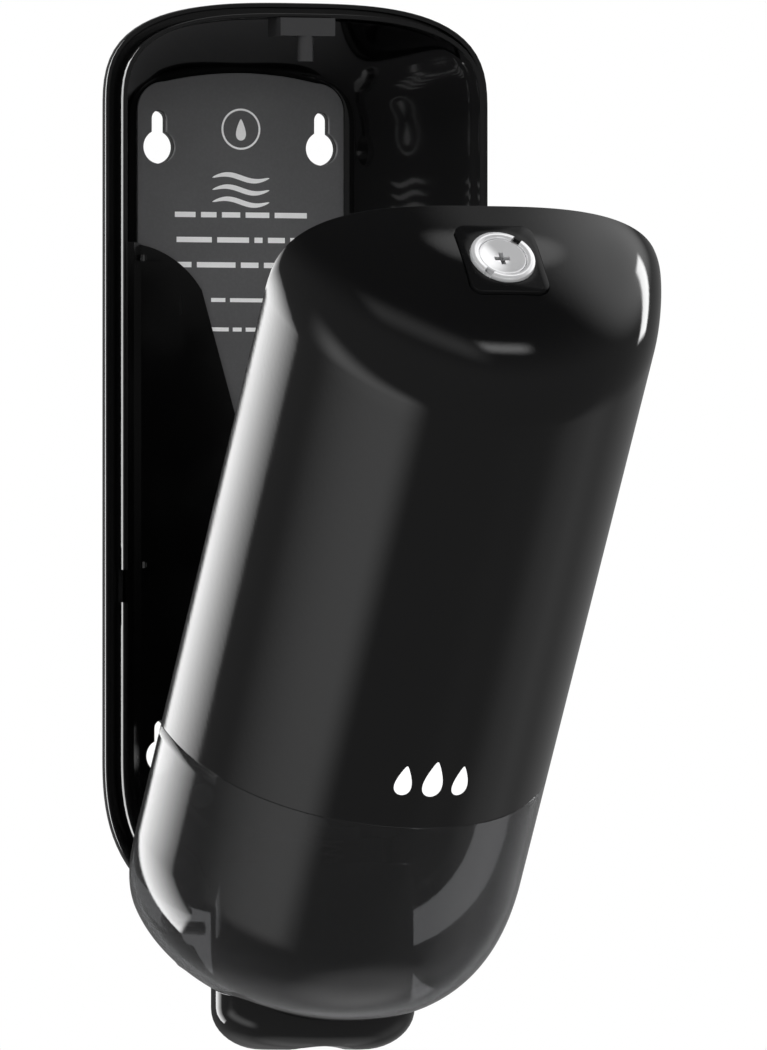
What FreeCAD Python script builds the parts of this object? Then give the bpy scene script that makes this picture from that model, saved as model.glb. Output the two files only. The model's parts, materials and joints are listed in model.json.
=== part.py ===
"""Wall-mounted soap dispenser with a lockable front cover, a smoked level window and a push bar.

Frame: +X to the user's right, +Y into the wall, +Z up, in millimetres. The wall plane is Y = 0 and
the origin is the centre of the four keyholes on that plane. Levels named in the comments are
heights above the rim's bottom. The cover, its window and its lock are designed closed and locked,
then turned to the unlocked, open pose in which the object is stored.
"""

import FreeCAD, Part

import math
import os

from FreeCAD import Placement, Rotation, Vector

# ---------------------------------------------------------------- driving dimensions (mm, degrees)
BODY_WIDTH = 112.0  # across the rim where shell and cover meet
BODY_HEIGHT = 257.0  # from the rim's bottom to its top
SHELL_DEPTH = 52.0  # wall to rim plane
COVER_DEPTH = 62.0  # rim plane to the cover's nose
CLEARANCE = 0.3  # between pieces that move past each other
SLIP = 0.05  # play of a turning pin or plug

TOP_ROUND = 30.0  # height of the rim's rounded top
TOP_POWER = 3.0  # superellipse power of that rounding
BOTTOM_ROUND = 48.0
BOTTOM_POWER = 2.6

# back shell
BACK_WIDTH = 70.0  # flat of the shell that lies on the wall
BACK_FALL = 14.0  # how far its roof and floor draw in towards the wall
BACK_ROUND_SHARE = 0.7  # corner rounding at the wall, as a share of that at the rim
FLARE_POWER = 1.12  # 1 is a straight flare from wall to rim
RIM_BAND = 3.0  # straight part of the shell behind its rim
BACK_WALL = 2.5
LIP_WALL = 1.4  # outer wall left outside the rim groove
GROOVE_DEPTH = 3.0
TONGUE_GAP = 1.1  # cover wall to the tongue inside it
TONGUE_WALL = 1.3
TONGUE_HEIGHT = 5.6  # how far the tongue stands out of the rim plane
CATCH_LEVEL = 90.5  # bottom of the gap in the left side of the tongue
CATCH_LENGTH = 9.0
CATCH_STEP = 1.5  # height of tongue left standing in that gap
FLOOR_CUT_TOP = 14.0  # top of the opening in the shell's floor

# wall fixing
KEYHOLE_SPAN = 48.0
KEYHOLE_TOP_DROP = 38.5  # rim's top to the round ends of the upper keyholes
KEYHOLE_LOW_RISE = 48.5  # rim's bottom to the round ends of the lower keyholes
KEYHOLE_RADIUS = 4.65
KEYHOLE_SLOT = 4.5
KEYHOLE_LENGTH = 14.7

# front cover, window and hinge
COVER_WALL = 2.0
COVER_OPEN = 36.6  # angle between the closed and the open cover
SECTION_BACKSET = 12.0  # centre of the cover's elliptical section, behind the rim plane
WINDOW_HEIGHT = 93.4  # top of the smoked window at its middle
WINDOW_ARC = 158.0  # radius of the window's top edge
HINGE_BACK = 17.0  # hinge pins behind the rim plane, level with the rim's bottom
PIN_RADIUS = 2.0
LUG_GAP = 2.3  # push bar to the window's lugs
LUG_WIDTH = 3.2
LUG_WALL = 1.8
KNUCKLE_WIDTH = 9.0
KNUCKLE_WALL = 2.2
NOTCH_SIDE_GAP = 2.0  # push bar to the notch in the window's underside
NOTCH_FRONT_GAP = 10.0
NOTCH_RADIUS = 12.0
NOTCH_TOP = 19.0

# printed plate and refill cradle
PLATE_MARGIN = 2.0  # shell's inner back edge to the plate's sides
PLATE_THICK = 1.5
PLATE_TOP_DROP = 17.6  # rim's top to the top of the plate
PLATE_CROWN = 2.6
PLATE_CORNER = 8.0
PLATE_TUCK = 12.8  # plate below the funnel's tip, hidden by the cradle
CRADLE_WALL = 2.0
CRADLE_TOP_DROP = 65.8
CRADLE_LOW = 4.0
CRADLE_REACH = 20.0  # how far its side wings come off the plate's plane
FUNNEL = ((30.5, 0.1), (20.0, 4.5), (12.3, 12.7), (2.2, 48.2))  # half widths and depths of the gap
FUNNEL_FALL = 50.4
HOOK_DROP = 3.8  # cradle's top to the upper snap hooks
HOOK_SPACING = 85.6
HOOK_WINDOW = (29.0, 31.0)
HOOK_HEIGHT = 1.8
HOOK_LEDGE = (24.4, 28.9)
HOOK_LEDGE_HEIGHT = 1.4
HOOK_PROUD = 1.0

# latch keeper
KEEPER_WIDTH = 16.0
KEEPER_PROUD = 8.6  # keeper's front beyond the rim plane
KEEPER_THICK = 5.0
KEEPER_LEG = 4.6
KEEPER_LEG_THICK = 3.0
KEEPER_LEG_LENGTH = 12.0

# pump bracket and its screws
SHELF_LEVEL = 26.0
SHELF_THICK = 3.0
BRACKET_WIDTH = 42.0
BRACKET_PROUD = 24.0  # shelf's front beyond the rim plane
BRACKET_BACK = 2.5
BRACKET_RISE = 36.0  # back plate above the shelf's underside
CHEEK_WALL = 3.0
CHEEK_LOW = 6.0
PUMP_BACKSET = 2.0  # pump axis behind the rim plane
NECK_SLOT = 20.0
SCREW_X = 14.0
SCREW_RISES = (12.0, 28.0)  # above the shelf's underside
SCREW_RADIUS = 1.6
SCREW_HEAD_RADIUS = 3.4
SCREW_HEAD_HEIGHT = 2.2
SCREW_TIP = 1.0  # tip's distance from the wall
RECESS_LENGTH = 3.6
RECESS_WIDTH = 0.9
RECESS_DEPTH = 1.1

# push bar, fork, lifter and springs
BAR_WIDTH = 58.0
BAR_BACK_PROUD = 10.5  # end of the bar's straight sides beyond the rim plane
BAR_DEPTH = 21.5
BAR_BOTTOM = -33.0  # level of the bar's underside
BAR_TOP = 19.0
BAR_WALL = 2.4
BAR_FLOOR = 2.6
BAR_ROUND = 11.5  # height of the round along the bar's foot
BAR_DRAW = (15.0, 9.0)  # how far the round draws the sides and the front in
BAR_POWER = 2.4
BAR_HOLLOW_RADIUS = 45.6  # shallow hollow under the bar
BAR_HOLLOW_DEPTH = 1.0
SPOUT_RADIUS = 11.0
SPOUT_PROUD = 6.0
PIVOT_PROUD = 16.0  # bar's pivot beyond the rim plane
PIVOT_LEVEL = 14.0
BAR_SWING = 14.0
FORK_X = (13.0, 17.0)
FORK_THICK = 3.5
FORK_PAST_PUMP = 4.0  # fork's tips beyond the pump axis
LIFTER_LEVEL = 9.0
LIFTER_THICK = 3.0
LIFTER_PAST_PUMP = 11.6
LIFTER_FRONT = 12.0
LIFTER_TAB = 6.0
COLLAR_SEAT = 16.0
GUIDE_SPARE = 2.0  # free height above the lifter at the top of its stroke
SPRING_X = 14.2
SPRING_RADIUS = 2.7
SPRING_WIRE = 0.6
SPRING_TURNS = 5
POST_RADIUS = 1.8
POST_HEIGHT = 4.0

# lock
LOCK_FORWARD = 22.3  # lock axis in front of the rim plane
LOCK_PLATE = (22.5, 25.0)
LOCK_CORNER = 3.5
LOCK_SEAM = 0.25
LOCK_RADIUS = 9.1
LOCK_DEPTH = 12.75  # cover's surface to the cam
PLATE_PROUD = 0.35
PLATE_DEEP = 4.6
RING_PROUD = 1.5  # ring's top above the cover's surface
RING_WALL = 2.4
RING_EDGE = 0.7
RING_SLOT = 2.4
RING_SLOT_TURN = -42.0
BODY_STEP = 2.1  # how much the threaded tube is smaller than the ring
BODY_WALL = 1.8
FACE_DEPTH = -0.9
FACE_TOP = 1.0
DISH_RADIUS = 18.0
DISH_DEPTH = 0.9
KEYWAY = (4.4, 1.3)
KEYWAY_DEPTH = 4.0
HOUSING_WALL = 3.9
HOUSING_FLANGE = 1.6
HOUSING_DEPTH = 9.0
NUT_WALL = 2.0
NUT_THICK = 3.0
TANG = 5.0
CAM_THICK = 2.5
CAM_HUB = 6.5
CAM_RING = (15.4, 18.9)
CAM_SPAN = (-30.0, 50.0)  # sector that the cam's tongue fills, from the lock's own +Y
CAM_ARM = 6.0
CAM_ARM_TURN = -42.0
CAM_SCREW_RADIUS = 4.0
CAM_SCREW_HEIGHT = 2.0

# ---------------------------------------------------------------- values that follow from them
HALF = BODY_WIDTH / 2
KEYHOLE_RISE = BODY_HEIGHT - KEYHOLE_TOP_DROP - KEYHOLE_LOW_RISE
TOP_Z = KEYHOLE_RISE / 2 + KEYHOLE_TOP_DROP
BOTTOM_Z = TOP_Z - BODY_HEIGHT
RIM_Y = -SHELL_DEPTH
COVER_Y = RIM_Y - CLEARANCE
HINGE = Vector(0, RIM_Y + HINGE_BACK, BOTTOM_Z)
PIVOT = Vector(0, RIM_Y - PIVOT_PROUD, BOTTOM_Z + PIVOT_LEVEL)
PUMP_Y = RIM_Y + PUMP_BACKSET
TONGUE_INSET = COVER_WALL + TONGUE_GAP
CAVITY_INSET = TONGUE_INSET + TONGUE_WALL
PLATE_FRONT = -(BACK_WALL + PLATE_THICK)
CRADLE_FRONT = PLATE_FRONT - CLEARANCE - CRADLE_WALL
CRADLE_TOP = TOP_Z - CRADLE_TOP_DROP
KNUCKLE_RADIUS = PIN_RADIUS + KNUCKLE_WALL
LUG_RADIUS = PIN_RADIUS + LUG_WALL
LUG_INNER = BAR_WIDTH / 2 + LUG_GAP
BAR_SQUARE_Y = RIM_Y - BAR_BACK_PROUD
BAR_FRONT_Y = BAR_SQUARE_Y - BAR_DEPTH
SHELF_FRONT_Y = RIM_Y - BRACKET_PROUD
KEEPER_FRONT_Y = RIM_Y - KEEPER_PROUD
LIFTER_BACK_Y = PUMP_Y + LIFTER_PAST_PUMP
SPRING_Y = LIFTER_BACK_Y - SPRING_RADIUS - SPRING_WIRE / 2 - 0.1
FACE_RADIUS = LOCK_RADIUS - RING_WALL
TUBE_RADIUS = LOCK_RADIUS - BODY_STEP
PLUG_RADIUS = TUBE_RADIUS - BODY_WALL
PLATE_UNDER = PLATE_PROUD - PLATE_DEEP
CAM_LOW = -LOCK_DEPTH - CAM_THICK
LIFT = (FORK_PAST_PUMP + PUMP_Y - PIVOT.y) * math.sin(math.radians(BAR_SWING))
BEYOND = 60.0  # how far cutters run past what they cut
X_AXIS = Vector(1, 0, 0)
Y_AXIS = Vector(0, 1, 0)
Z_AXIS = Vector(0, 0, 1)
ORIGIN = Vector(0, 0, 0)


def height(level):
    """Z of a level above the rim's bottom."""
    return BOTTOM_Z + level


# ---------------------------------------------------------------- general helpers
def box(x0, x1, y0, y1, z0, z1):
    return Part.makeBox(x1 - x0, y1 - y0, z1 - z0, Vector(x0, y0, z0))


def rod(radius, start, end):
    run = end - start
    return Part.makeCylinder(radius, run.Length, start, run)


def cross_rod(radius, centre):
    """Long rod along X through a point, as a cutter for a pair of bores."""
    return rod(radius, centre - X_AXIS * BEYOND, centre + X_AXIS * BEYOND)


def prism(points, run):
    """Extrude a closed polygon, given as vectors in one plane, along run."""
    return Part.Face(Part.makePolygon(points + points[:1])).extrude(run)


def both_sides(shape):
    return [shape, shape.mirror(ORIGIN, X_AXIS)]


def rounded_box(width, length, radius, low, high):
    """Block with rounded corners, centred on the local Z axis."""
    block = box(-width / 2, width / 2, -length / 2, length / 2, low, high)
    uprights = [edge for edge in block.Edges if abs(edge.tangentAt(edge.FirstParameter).z) > 0.99]
    return block.makeFillet(radius, uprights)


def disc(radius, low, high):
    """Cylinder on the local Z axis."""
    return rod(radius, Vector(0, 0, low), Vector(0, 0, high))


def edges_at(shape, level):
    """Edges of a local shape that lie at one level."""
    return [edge for edge in shape.Edges if abs(edge.CenterOfMass.z - level) < 0.01]


def write(name, shape):
    if shape.ShapeType != "Compound":
        shape = shape.removeSplitter()
    if not shape.isValid():
        print("not valid:", name)
    print(f"{name}: {len(shape.Solids)} solid(s), {shape.Volume / 1000:.2f} cm3")
    shape.exportStep(f"parts/{name}.step")


# ---------------------------------------------------------------- rim outline and shell bowl
def arch_height(x, half, rise, power):
    """Height of a superellipse arch above its springing at x."""
    return rise * max(1 - (abs(x) / half) ** power, 0) ** (1 / power)


def rim_floor(x):
    """Level of the rim's bottom edge at x."""
    return BOTTOM_ROUND - arch_height(x, HALF, BOTTOM_ROUND, BOTTOM_POWER)


def arch(half, rise, power, count=9):
    """Points of a quarter superellipse, from its side (half, 0) to its crown (0, rise)."""
    points = []
    for step in range(count + 1):
        turn = math.pi / 2 * step / count
        points.append((half * math.cos(turn) ** (2 / power), rise * math.sin(turn) ** (2 / power)))
    return points


def outline_wire(half, top, bottom, top_round, bottom_round, y):
    """Closed rim-shaped wire in a plane of constant Y."""
    right_top = [(x, top - top_round + z) for x, z in arch(half, top_round, TOP_POWER)]
    right_bottom = [(x, bottom + bottom_round - z) for x, z in arch(half, bottom_round, BOTTOM_POWER)]
    side_low, side_high = bottom + bottom_round, top - top_round
    side = [(half, side_low + (side_high - side_low) * step / 5) for step in range(1, 5)]
    right = right_bottom[::-1] + side + right_top
    left = [(-x, z) for x, z in right[-2:0:-1]]
    curve = Part.BSplineCurve()
    curve.interpolate(Points=[Vector(x, y, z) for x, z in right + left], PeriodicFlag=True)
    return Part.Wire([curve.toShape()])


def rim_wire(inset, y):
    return outline_wire(
        HALF - inset, TOP_Z - inset, BOTTOM_Z + inset, TOP_ROUND - inset, BOTTOM_ROUND - inset, y
    )


def rim_prism(inset, y0, y1):
    return Part.Face(rim_wire(inset, y0)).extrude(Vector(0, y1 - y0, 0))


def bowl(rim_inset, back_inset, y_rim, y_back, stations=6):
    """Solid that flares from the back outline at y_back to the rim outline at y_rim."""
    wires = []
    for step in range(stations + 1):
        share = step / stations
        flare = share**FLARE_POWER
        inset = rim_inset + (back_inset - rim_inset) * share
        rounding = 1 - (1 - BACK_ROUND_SHARE) * flare
        wires.append(
            outline_wire(
                HALF - (HALF - BACK_WIDTH / 2) * flare - inset,
                TOP_Z - BACK_FALL * flare - inset,
                BOTTOM_Z + BACK_FALL * flare + inset,
                TOP_ROUND * rounding - inset,
                BOTTOM_ROUND * rounding - inset,
                y_rim + (y_back - y_rim) * share,
            )
        )
    return Part.makeLoft(wires, True, False)


def cavity(extra, y_back):
    """Space inside the shell, drawn in by extra on every side."""
    inset = CAVITY_INSET + extra
    mouth = rim_prism(inset, RIM_Y - TONGUE_HEIGHT - 1, RIM_Y)
    return mouth.fuse(bowl(inset, BACK_WALL + extra, RIM_Y, y_back))


# ---------------------------------------------------------------- holes that several pieces share
def keyhole(x, z):
    """Cutter for one keyhole: a round entry with a narrow slot above it."""
    half = KEYHOLE_SLOT / 2
    rise = KEYHOLE_LENGTH - KEYHOLE_RADIUS - half
    back, front = 1.0, CRADLE_FRONT - 1.0
    entry = rod(KEYHOLE_RADIUS, Vector(x, back, z), Vector(x, front, z))
    crown = rod(half, Vector(x, back, z + rise), Vector(x, front, z + rise))
    return entry.fuse([crown, box(x - half, x + half, front, back, z, z + rise)])


def keyholes():
    places = [(sx * KEYHOLE_SPAN / 2, sz * KEYHOLE_RISE / 2) for sx in (-1, 1) for sz in (-1, 1)]
    return [keyhole(x, z) for x, z in places]


def hook_heights():
    return [CRADLE_TOP - HOOK_DROP - HOOK_SPACING * step for step in range(2)]


def hook_windows(extra=0.0):
    """Cutters for the small windows beside the cradle's snap hooks."""
    cuts = []
    half = HOOK_HEIGHT / 2
    for z in hook_heights():
        cut = box(HOOK_WINDOW[0], HOOK_WINDOW[1] + extra, CRADLE_FRONT - 1, 1, z - half, z + half)
        cuts += both_sides(cut)
    return cuts


def screw_holes(radius):
    """Cutters for the bracket's four screws."""
    cuts = []
    for x, z in screw_places():
        cuts.append(rod(radius, Vector(x, -SCREW_TIP, z), Vector(x, CRADLE_FRONT - BRACKET_BACK - 1, z)))
    return cuts


def screw_places():
    return [(sx * SCREW_X, height(SHELF_LEVEL + rise)) for rise in SCREW_RISES for sx in (-1, 1)]


# ---------------------------------------------------------------- back shell
def knuckles():
    """Hinge knuckles under the shell, each with a web up into its floor."""
    end = LUG_INNER - CLEARANCE
    start = end - KNUCKLE_WIDTH
    knuckle = rod(KNUCKLE_RADIUS, HINGE + X_AXIS * start, HINGE + X_AXIS * end)
    web_top = height(rim_floor(end) + BACK_WALL + KNUCKLE_WALL)
    web = box(start, end, HINGE.y - KNUCKLE_RADIUS, HINGE.y + KNUCKLE_RADIUS, HINGE.z, web_top)
    return both_sides(knuckle.fuse(web))


def floor_opening():
    """Cutter for the opening in the shell's floor, through which the push bar hangs."""
    half = BAR_WIDTH / 2 + NOTCH_SIDE_GAP
    return box(-half, half, RIM_Y - BEYOND, HINGE.y - PIN_RADIUS, height(-BEYOND), height(FLOOR_CUT_TOP))


def back_shell():
    shell = rim_prism(0, RIM_Y, RIM_Y + RIM_BAND).fuse(bowl(0, 0, RIM_Y + RIM_BAND, 0))
    shell = shell.fuse([rim_prism(TONGUE_INSET, RIM_Y - TONGUE_HEIGHT, RIM_Y)] + knuckles())
    shell = shell.cut(cavity(0, -BACK_WALL))
    lip = rim_prism(LIP_WALL, RIM_Y - 0.01, RIM_Y + GROOVE_DEPTH)
    shell = shell.cut(lip.cut(rim_prism(TONGUE_INSET, RIM_Y - 1, RIM_Y + GROOVE_DEPTH + 1)))
    shell = shell.cut(floor_opening().cut(knuckles()))
    shell = shell.cut(keyholes() + hook_windows() + screw_holes(SCREW_RADIUS))
    catch_low = height(CATCH_LEVEL)
    catch = box(
        -HALF, -HALF + 2 * CAVITY_INSET, RIM_Y - BEYOND, RIM_Y - CATCH_STEP, catch_low, catch_low + CATCH_LENGTH
    )
    return shell.cut([catch, cross_rod(PIN_RADIUS, HINGE)])


# ---------------------------------------------------------------- printed plate behind the refill
def info_plate():
    half = BACK_WIDTH / 2 - BACK_WALL - PLATE_MARGIN
    top = TOP_Z - PLATE_TOP_DROP
    shoulder = top - PLATE_CROWN
    low = CRADLE_TOP - FUNNEL_FALL - PLATE_TUCK
    reach = half - PLATE_CORNER
    side = shoulder - PLATE_CORNER
    bulge = PLATE_CORNER * math.sqrt(0.5)

    def at(x, z):
        return Vector(x, -BACK_WALL, z)

    edges = [
        Part.LineSegment(at(-half, low), at(half, low)),
        Part.LineSegment(at(half, low), at(half, side)),
        Part.Arc(at(half, side), at(reach + bulge, side + bulge), at(reach, shoulder)),
        Part.Arc(at(reach, shoulder), at(0, top), at(-reach, shoulder)),
        Part.Arc(at(-reach, shoulder), at(-reach - bulge, side + bulge), at(-half, side)),
        Part.LineSegment(at(-half, side), at(-half, low)),
    ]
    face = Part.Face(Part.Wire([edge.toShape() for edge in edges]))
    plate = face.extrude(Y_AXIS * -PLATE_THICK)
    return plate.cut(keyholes() + hook_windows(PLATE_MARGIN))


# ---------------------------------------------------------------- refill cradle
def funnel():
    """Cutter for the funnel-shaped gap in the cradle's top, which shows the printed plate."""
    wide, shoulder, throat, tip = [Vector(x, 0, CRADLE_TOP - fall) for x, fall in FUNNEL]
    bottom = Vector(0, 0, CRADLE_TOP - FUNNEL_FALL)
    lid = wide + Z_AXIS * BRACKET_BACK * 2

    def left(point):
        return Vector(-point.x, point.y, point.z)

    edges = [
        Part.LineSegment(left(lid), lid),
        Part.LineSegment(lid, wide),
        Part.Arc(wide, shoulder, throat),
        Part.LineSegment(throat, tip),
        Part.Arc(tip, bottom, left(tip)),
        Part.LineSegment(left(tip), left(throat)),
        Part.Arc(left(throat), left(shoulder), left(wide)),
        Part.LineSegment(left(wide), left(lid)),
    ]
    return Part.Face(Part.Wire([edge.toShape() for edge in edges])).extrude(Y_AXIS * -BEYOND)


def refill_cradle():
    outer = cavity(CLEARANCE, PLATE_FRONT)
    inner = cavity(CLEARANCE + CRADLE_WALL, CRADLE_FRONT)
    reach = box(-HALF, HALF, PLATE_FRONT - CRADLE_REACH, 0, height(CRADLE_LOW), CRADLE_TOP)
    cradle = outer.cut(inner).common(reach).cut(funnel())
    cradle = cradle.cut(keyholes() + hook_windows(PLATE_MARGIN))
    half = HOOK_LEDGE_HEIGHT / 2
    ledges = []
    for z in hook_heights():
        ledge = box(*HOOK_LEDGE, CRADLE_FRONT - HOOK_PROUD, CRADLE_FRONT, z - half, z + half)
        ledges += both_sides(ledge)
    return cradle.fuse(ledges).cut(screw_holes(SCREW_RADIUS))


# ---------------------------------------------------------------- latch keeper
def latch_keeper():
    """Block under the shell's roof with a half-round leg that the lock's cam hooks behind."""
    half = KEEPER_WIDTH / 2
    roof = TOP_Z - CAVITY_INSET - SLIP
    inside = box(-half, half, RIM_Y - TONGUE_HEIGHT, RIM_Y + PUMP_BACKSET, roof - KEEPER_THICK, roof)
    outside = box(-half, half, KEEPER_FRONT_Y, RIM_Y - TONGUE_HEIGHT, roof - KEEPER_THICK, roof)
    radius = KEEPER_LEG / 2
    axis_y = KEEPER_FRONT_Y + radius
    leg = rod(radius, Vector(0, axis_y, roof - KEEPER_LEG_LENGTH), Vector(0, axis_y, roof - 1))
    back_y = KEEPER_FRONT_Y + KEEPER_LEG_THICK
    leg = leg.common(box(-half, half, KEEPER_FRONT_Y, back_y, roof - KEEPER_LEG_LENGTH, roof))
    return inside.common(cavity(SLIP / 2, -BACK_WALL)).fuse([outside, leg])


# ---------------------------------------------------------------- hinge pins
def hinge_pins():
    start = LUG_INNER - CLEARANCE - KNUCKLE_WIDTH
    end = LUG_INNER + LUG_WIDTH - SLIP
    return Part.Compound(both_sides(rod(PIN_RADIUS, HINGE + X_AXIS * start, HINGE + X_AXIS * end)))


# ---------------------------------------------------------------- pump bracket and its screws
def cheek():
    """Side wall of the bracket, which carries the push bar's pin and guides the lifter."""
    half = BRACKET_WIDTH / 2
    front_y = PIVOT.y - PIN_RADIUS - LUG_WALL
    shelf_top = SHELF_LEVEL + SHELF_THICK
    profile = [
        (CRADLE_FRONT, SHELF_LEVEL + 12.0),
        (CRADLE_FRONT, SHELF_LEVEL),
        (PUMP_Y + 24.0, SHELF_LEVEL - 5.0),
        (PUMP_Y + 10.0, CHEEK_LOW + 4.5),
        (PUMP_Y + 6.0, CHEEK_LOW),
        (front_y + 3.0, CHEEK_LOW),
        (front_y, CHEEK_LOW + 4.0),
        (front_y, shelf_top),
        (PUMP_Y + 20.0, shelf_top),
    ]
    points = [Vector(half - CHEEK_WALL, y, height(level)) for y, level in profile]
    return prism(points, X_AXIS * CHEEK_WALL)


def pump_bracket():
    half = BRACKET_WIDTH / 2
    low, high = height(SHELF_LEVEL), height(SHELF_LEVEL + SHELF_THICK)
    back = box(-half, half, CRADLE_FRONT - BRACKET_BACK, CRADLE_FRONT, low, low + BRACKET_RISE)
    shelf = box(-half, half, SHELF_FRONT_Y, CRADLE_FRONT, low, high)
    reach = LIFTER_TAB / 2 + CLEARANCE
    guide_low = height(LIFTER_LEVEL) - CLEARANCE
    guide_high = height(LIFTER_LEVEL + LIFTER_THICK) + LIFT + GUIDE_SPARE
    guide = box(half - CHEEK_WALL - 1, half + 1, PUMP_Y - reach, PUMP_Y + reach, guide_low, guide_high)
    bracket = back.fuse([shelf] + both_sides(cheek())).cut(both_sides(guide))
    neck = rod(NECK_SLOT / 2, Vector(0, PUMP_Y, low - 1), Vector(0, PUMP_Y, high + 1))
    mouth = box(-NECK_SLOT / 2, NECK_SLOT / 2, SHELF_FRONT_Y - 1, PUMP_Y, low - 1, high + 1)
    cuts = [neck, mouth, cross_rod(PIN_RADIUS, PIVOT)] + screw_holes(SCREW_RADIUS + SLIP)
    return bracket.cut(cuts)


def bracket_screws():
    screws = []
    seat_y = CRADLE_FRONT - BRACKET_BACK
    top_y = seat_y - SCREW_HEAD_HEIGHT
    for x, z in screw_places():
        head = rod(SCREW_HEAD_RADIUS, Vector(x, seat_y, z), Vector(x, top_y, z))
        rim = [edge for edge in head.Edges if abs(edge.CenterOfMass.y - top_y) < 0.01]
        head = head.makeFillet(RECESS_WIDTH, rim)
        shank = rod(SCREW_RADIUS, Vector(x, -SCREW_TIP, z), Vector(x, seat_y, z))
        long, wide = RECESS_LENGTH / 2, RECESS_WIDTH / 2
        deep_y = top_y + RECESS_DEPTH
        recess = box(x - wide, x + wide, top_y - 1, deep_y, z - long, z + long)
        cross = box(x - long, x + long, top_y - 1, deep_y, z - wide, z + wide)
        screws.append(head.fuse(shank).cut([recess, cross]))
    return Part.Compound(screws)


# ---------------------------------------------------------------- push bar, fork and their pins
def bar_wire(inset, level, back_y, drawn=0):
    """D-shaped plan outline of the push bar at one level; drawn is its share of the foot's round."""
    half = BAR_WIDTH / 2 - inset - BAR_DRAW[0] * drawn
    depth = BAR_DEPTH - inset - BAR_DRAW[1] * drawn
    z = height(level)
    right = [Vector(x, BAR_SQUARE_Y - y, z) for x, y in arch(half, depth, BAR_POWER)]
    points = right + [Vector(-point.x, point.y, z) for point in right[-2::-1]]
    curve = Part.BSplineCurve()
    curve.interpolate(points)
    corners = [points[-1], Vector(-half, back_y, z), Vector(half, back_y, z), points[0]]
    lines = [Part.makeLine(start, end) for start, end in zip(corners[:-1], corners[1:])]
    return Part.Wire([curve.toShape()] + lines)


def bar_prism(inset, level, rise, back_y):
    return Part.Face(bar_wire(inset, level, back_y)).extrude(Z_AXIS * rise)


def bar_foot(inset, floor, back_y):
    """Rounded foot of the bar's form drawn in by inset, with its underside raised by floor."""
    wires = []
    for step in range(7):
        turn = math.pi / 2 * step / 6
        level = BAR_BOTTOM + floor + (BAR_ROUND - floor) * (1 - math.cos(turn))
        wires.append(bar_wire(inset, level, back_y, 1 - math.sin(turn)))
    return Part.makeLoft(wires, True, False)


def push_bar():
    back_y = BAR_SQUARE_Y + 0.5
    open_y = BAR_SQUARE_Y + 5.0
    foot_level = BAR_BOTTOM + BAR_ROUND
    body = bar_foot(0, 0, back_y).fuse(bar_prism(0, foot_level, BAR_TOP - foot_level, back_y))
    hollow = bar_foot(BAR_WALL, BAR_FLOOR, open_y).fuse(bar_prism(BAR_WALL, foot_level, BEYOND, open_y))
    spout_y = RIM_Y - SPOUT_PROUD
    spout = rod(SPOUT_RADIUS, Vector(0, spout_y, height(BAR_BOTTOM) - 1), Vector(0, spout_y, BOTTOM_Z))
    scoop_z = height(BAR_BOTTOM) + BAR_HOLLOW_DEPTH - BAR_HOLLOW_RADIUS
    scoop = rod(BAR_HOLLOW_RADIUS, Vector(0, BAR_FRONT_Y - 5, scoop_z), Vector(0, open_y, scoop_z))
    body = body.cut([hollow, spout, scoop])
    start = BRACKET_WIDTH / 2 + CLEARANCE + 0.2
    boss = rod(KNUCKLE_RADIUS, PIVOT + X_AXIS * start, PIVOT + X_AXIS * (BAR_WIDTH / 2 - BAR_WALL / 2))
    outer = bar_prism(0, foot_level, BEYOND, back_y)
    body = body.fuse([side.common(outer) for side in both_sides(boss)])
    return body.cut(cross_rod(PIN_RADIUS + SLIP, PIVOT))


def lift_fork():
    high = height(LIFTER_LEVEL) - CLEARANCE
    low = high - FORK_THICK
    beam_y = BAR_FRONT_Y + 9.0
    arm = box(*FORK_X, beam_y - 1, PUMP_Y + FORK_PAST_PUMP, low, high)
    beam = box(-FORK_X[1], FORK_X[1], BAR_FRONT_Y, beam_y, low, high)
    inner = bar_prism(BAR_WALL, BAR_BOTTOM, BEYOND, 0)
    return beam.fuse(both_sides(arm)).common(inner)


def push_bar_pins():
    start = BRACKET_WIDTH / 2 - CHEEK_WALL + SLIP
    pin = rod(PIN_RADIUS, PIVOT + X_AXIS * start, PIVOT + X_AXIS * (BAR_WIDTH / 2 - BAR_WALL - 0.6))
    return Part.Compound(both_sides(pin))


# ---------------------------------------------------------------- pump lifter and return springs
def pump_lifter():
    """Forked plate under the pump's collar, guided in the cheeks and pressed down by the springs."""
    half = BRACKET_WIDTH / 2 - CHEEK_WALL - CLEARANCE
    low, high = height(LIFTER_LEVEL), height(LIFTER_LEVEL + LIFTER_THICK)
    plate = box(-half, half, PUMP_Y - LIFTER_FRONT, LIFTER_BACK_Y, low, high)
    tab_end = BRACKET_WIDTH / 2 - CLEARANCE
    tab = box(half - 1, tab_end, PUMP_Y - LIFTER_TAB / 2, PUMP_Y + LIFTER_TAB / 2, low, high)
    foot = Vector(SPRING_X, SPRING_Y, high)
    post = rod(POST_RADIUS, foot, foot + Z_AXIS * POST_HEIGHT)
    plate = plate.fuse(both_sides(tab) + both_sides(post))
    half_seat = COLLAR_SEAT / 2
    seat = rod(half_seat, Vector(0, PUMP_Y, low - 1), Vector(0, PUMP_Y, high + 1))
    mouth = box(-half_seat, half_seat, PUMP_Y - LIFTER_FRONT - 1, PUMP_Y, low - 1, high + 1)
    return plate.cut([seat, mouth])


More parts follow.
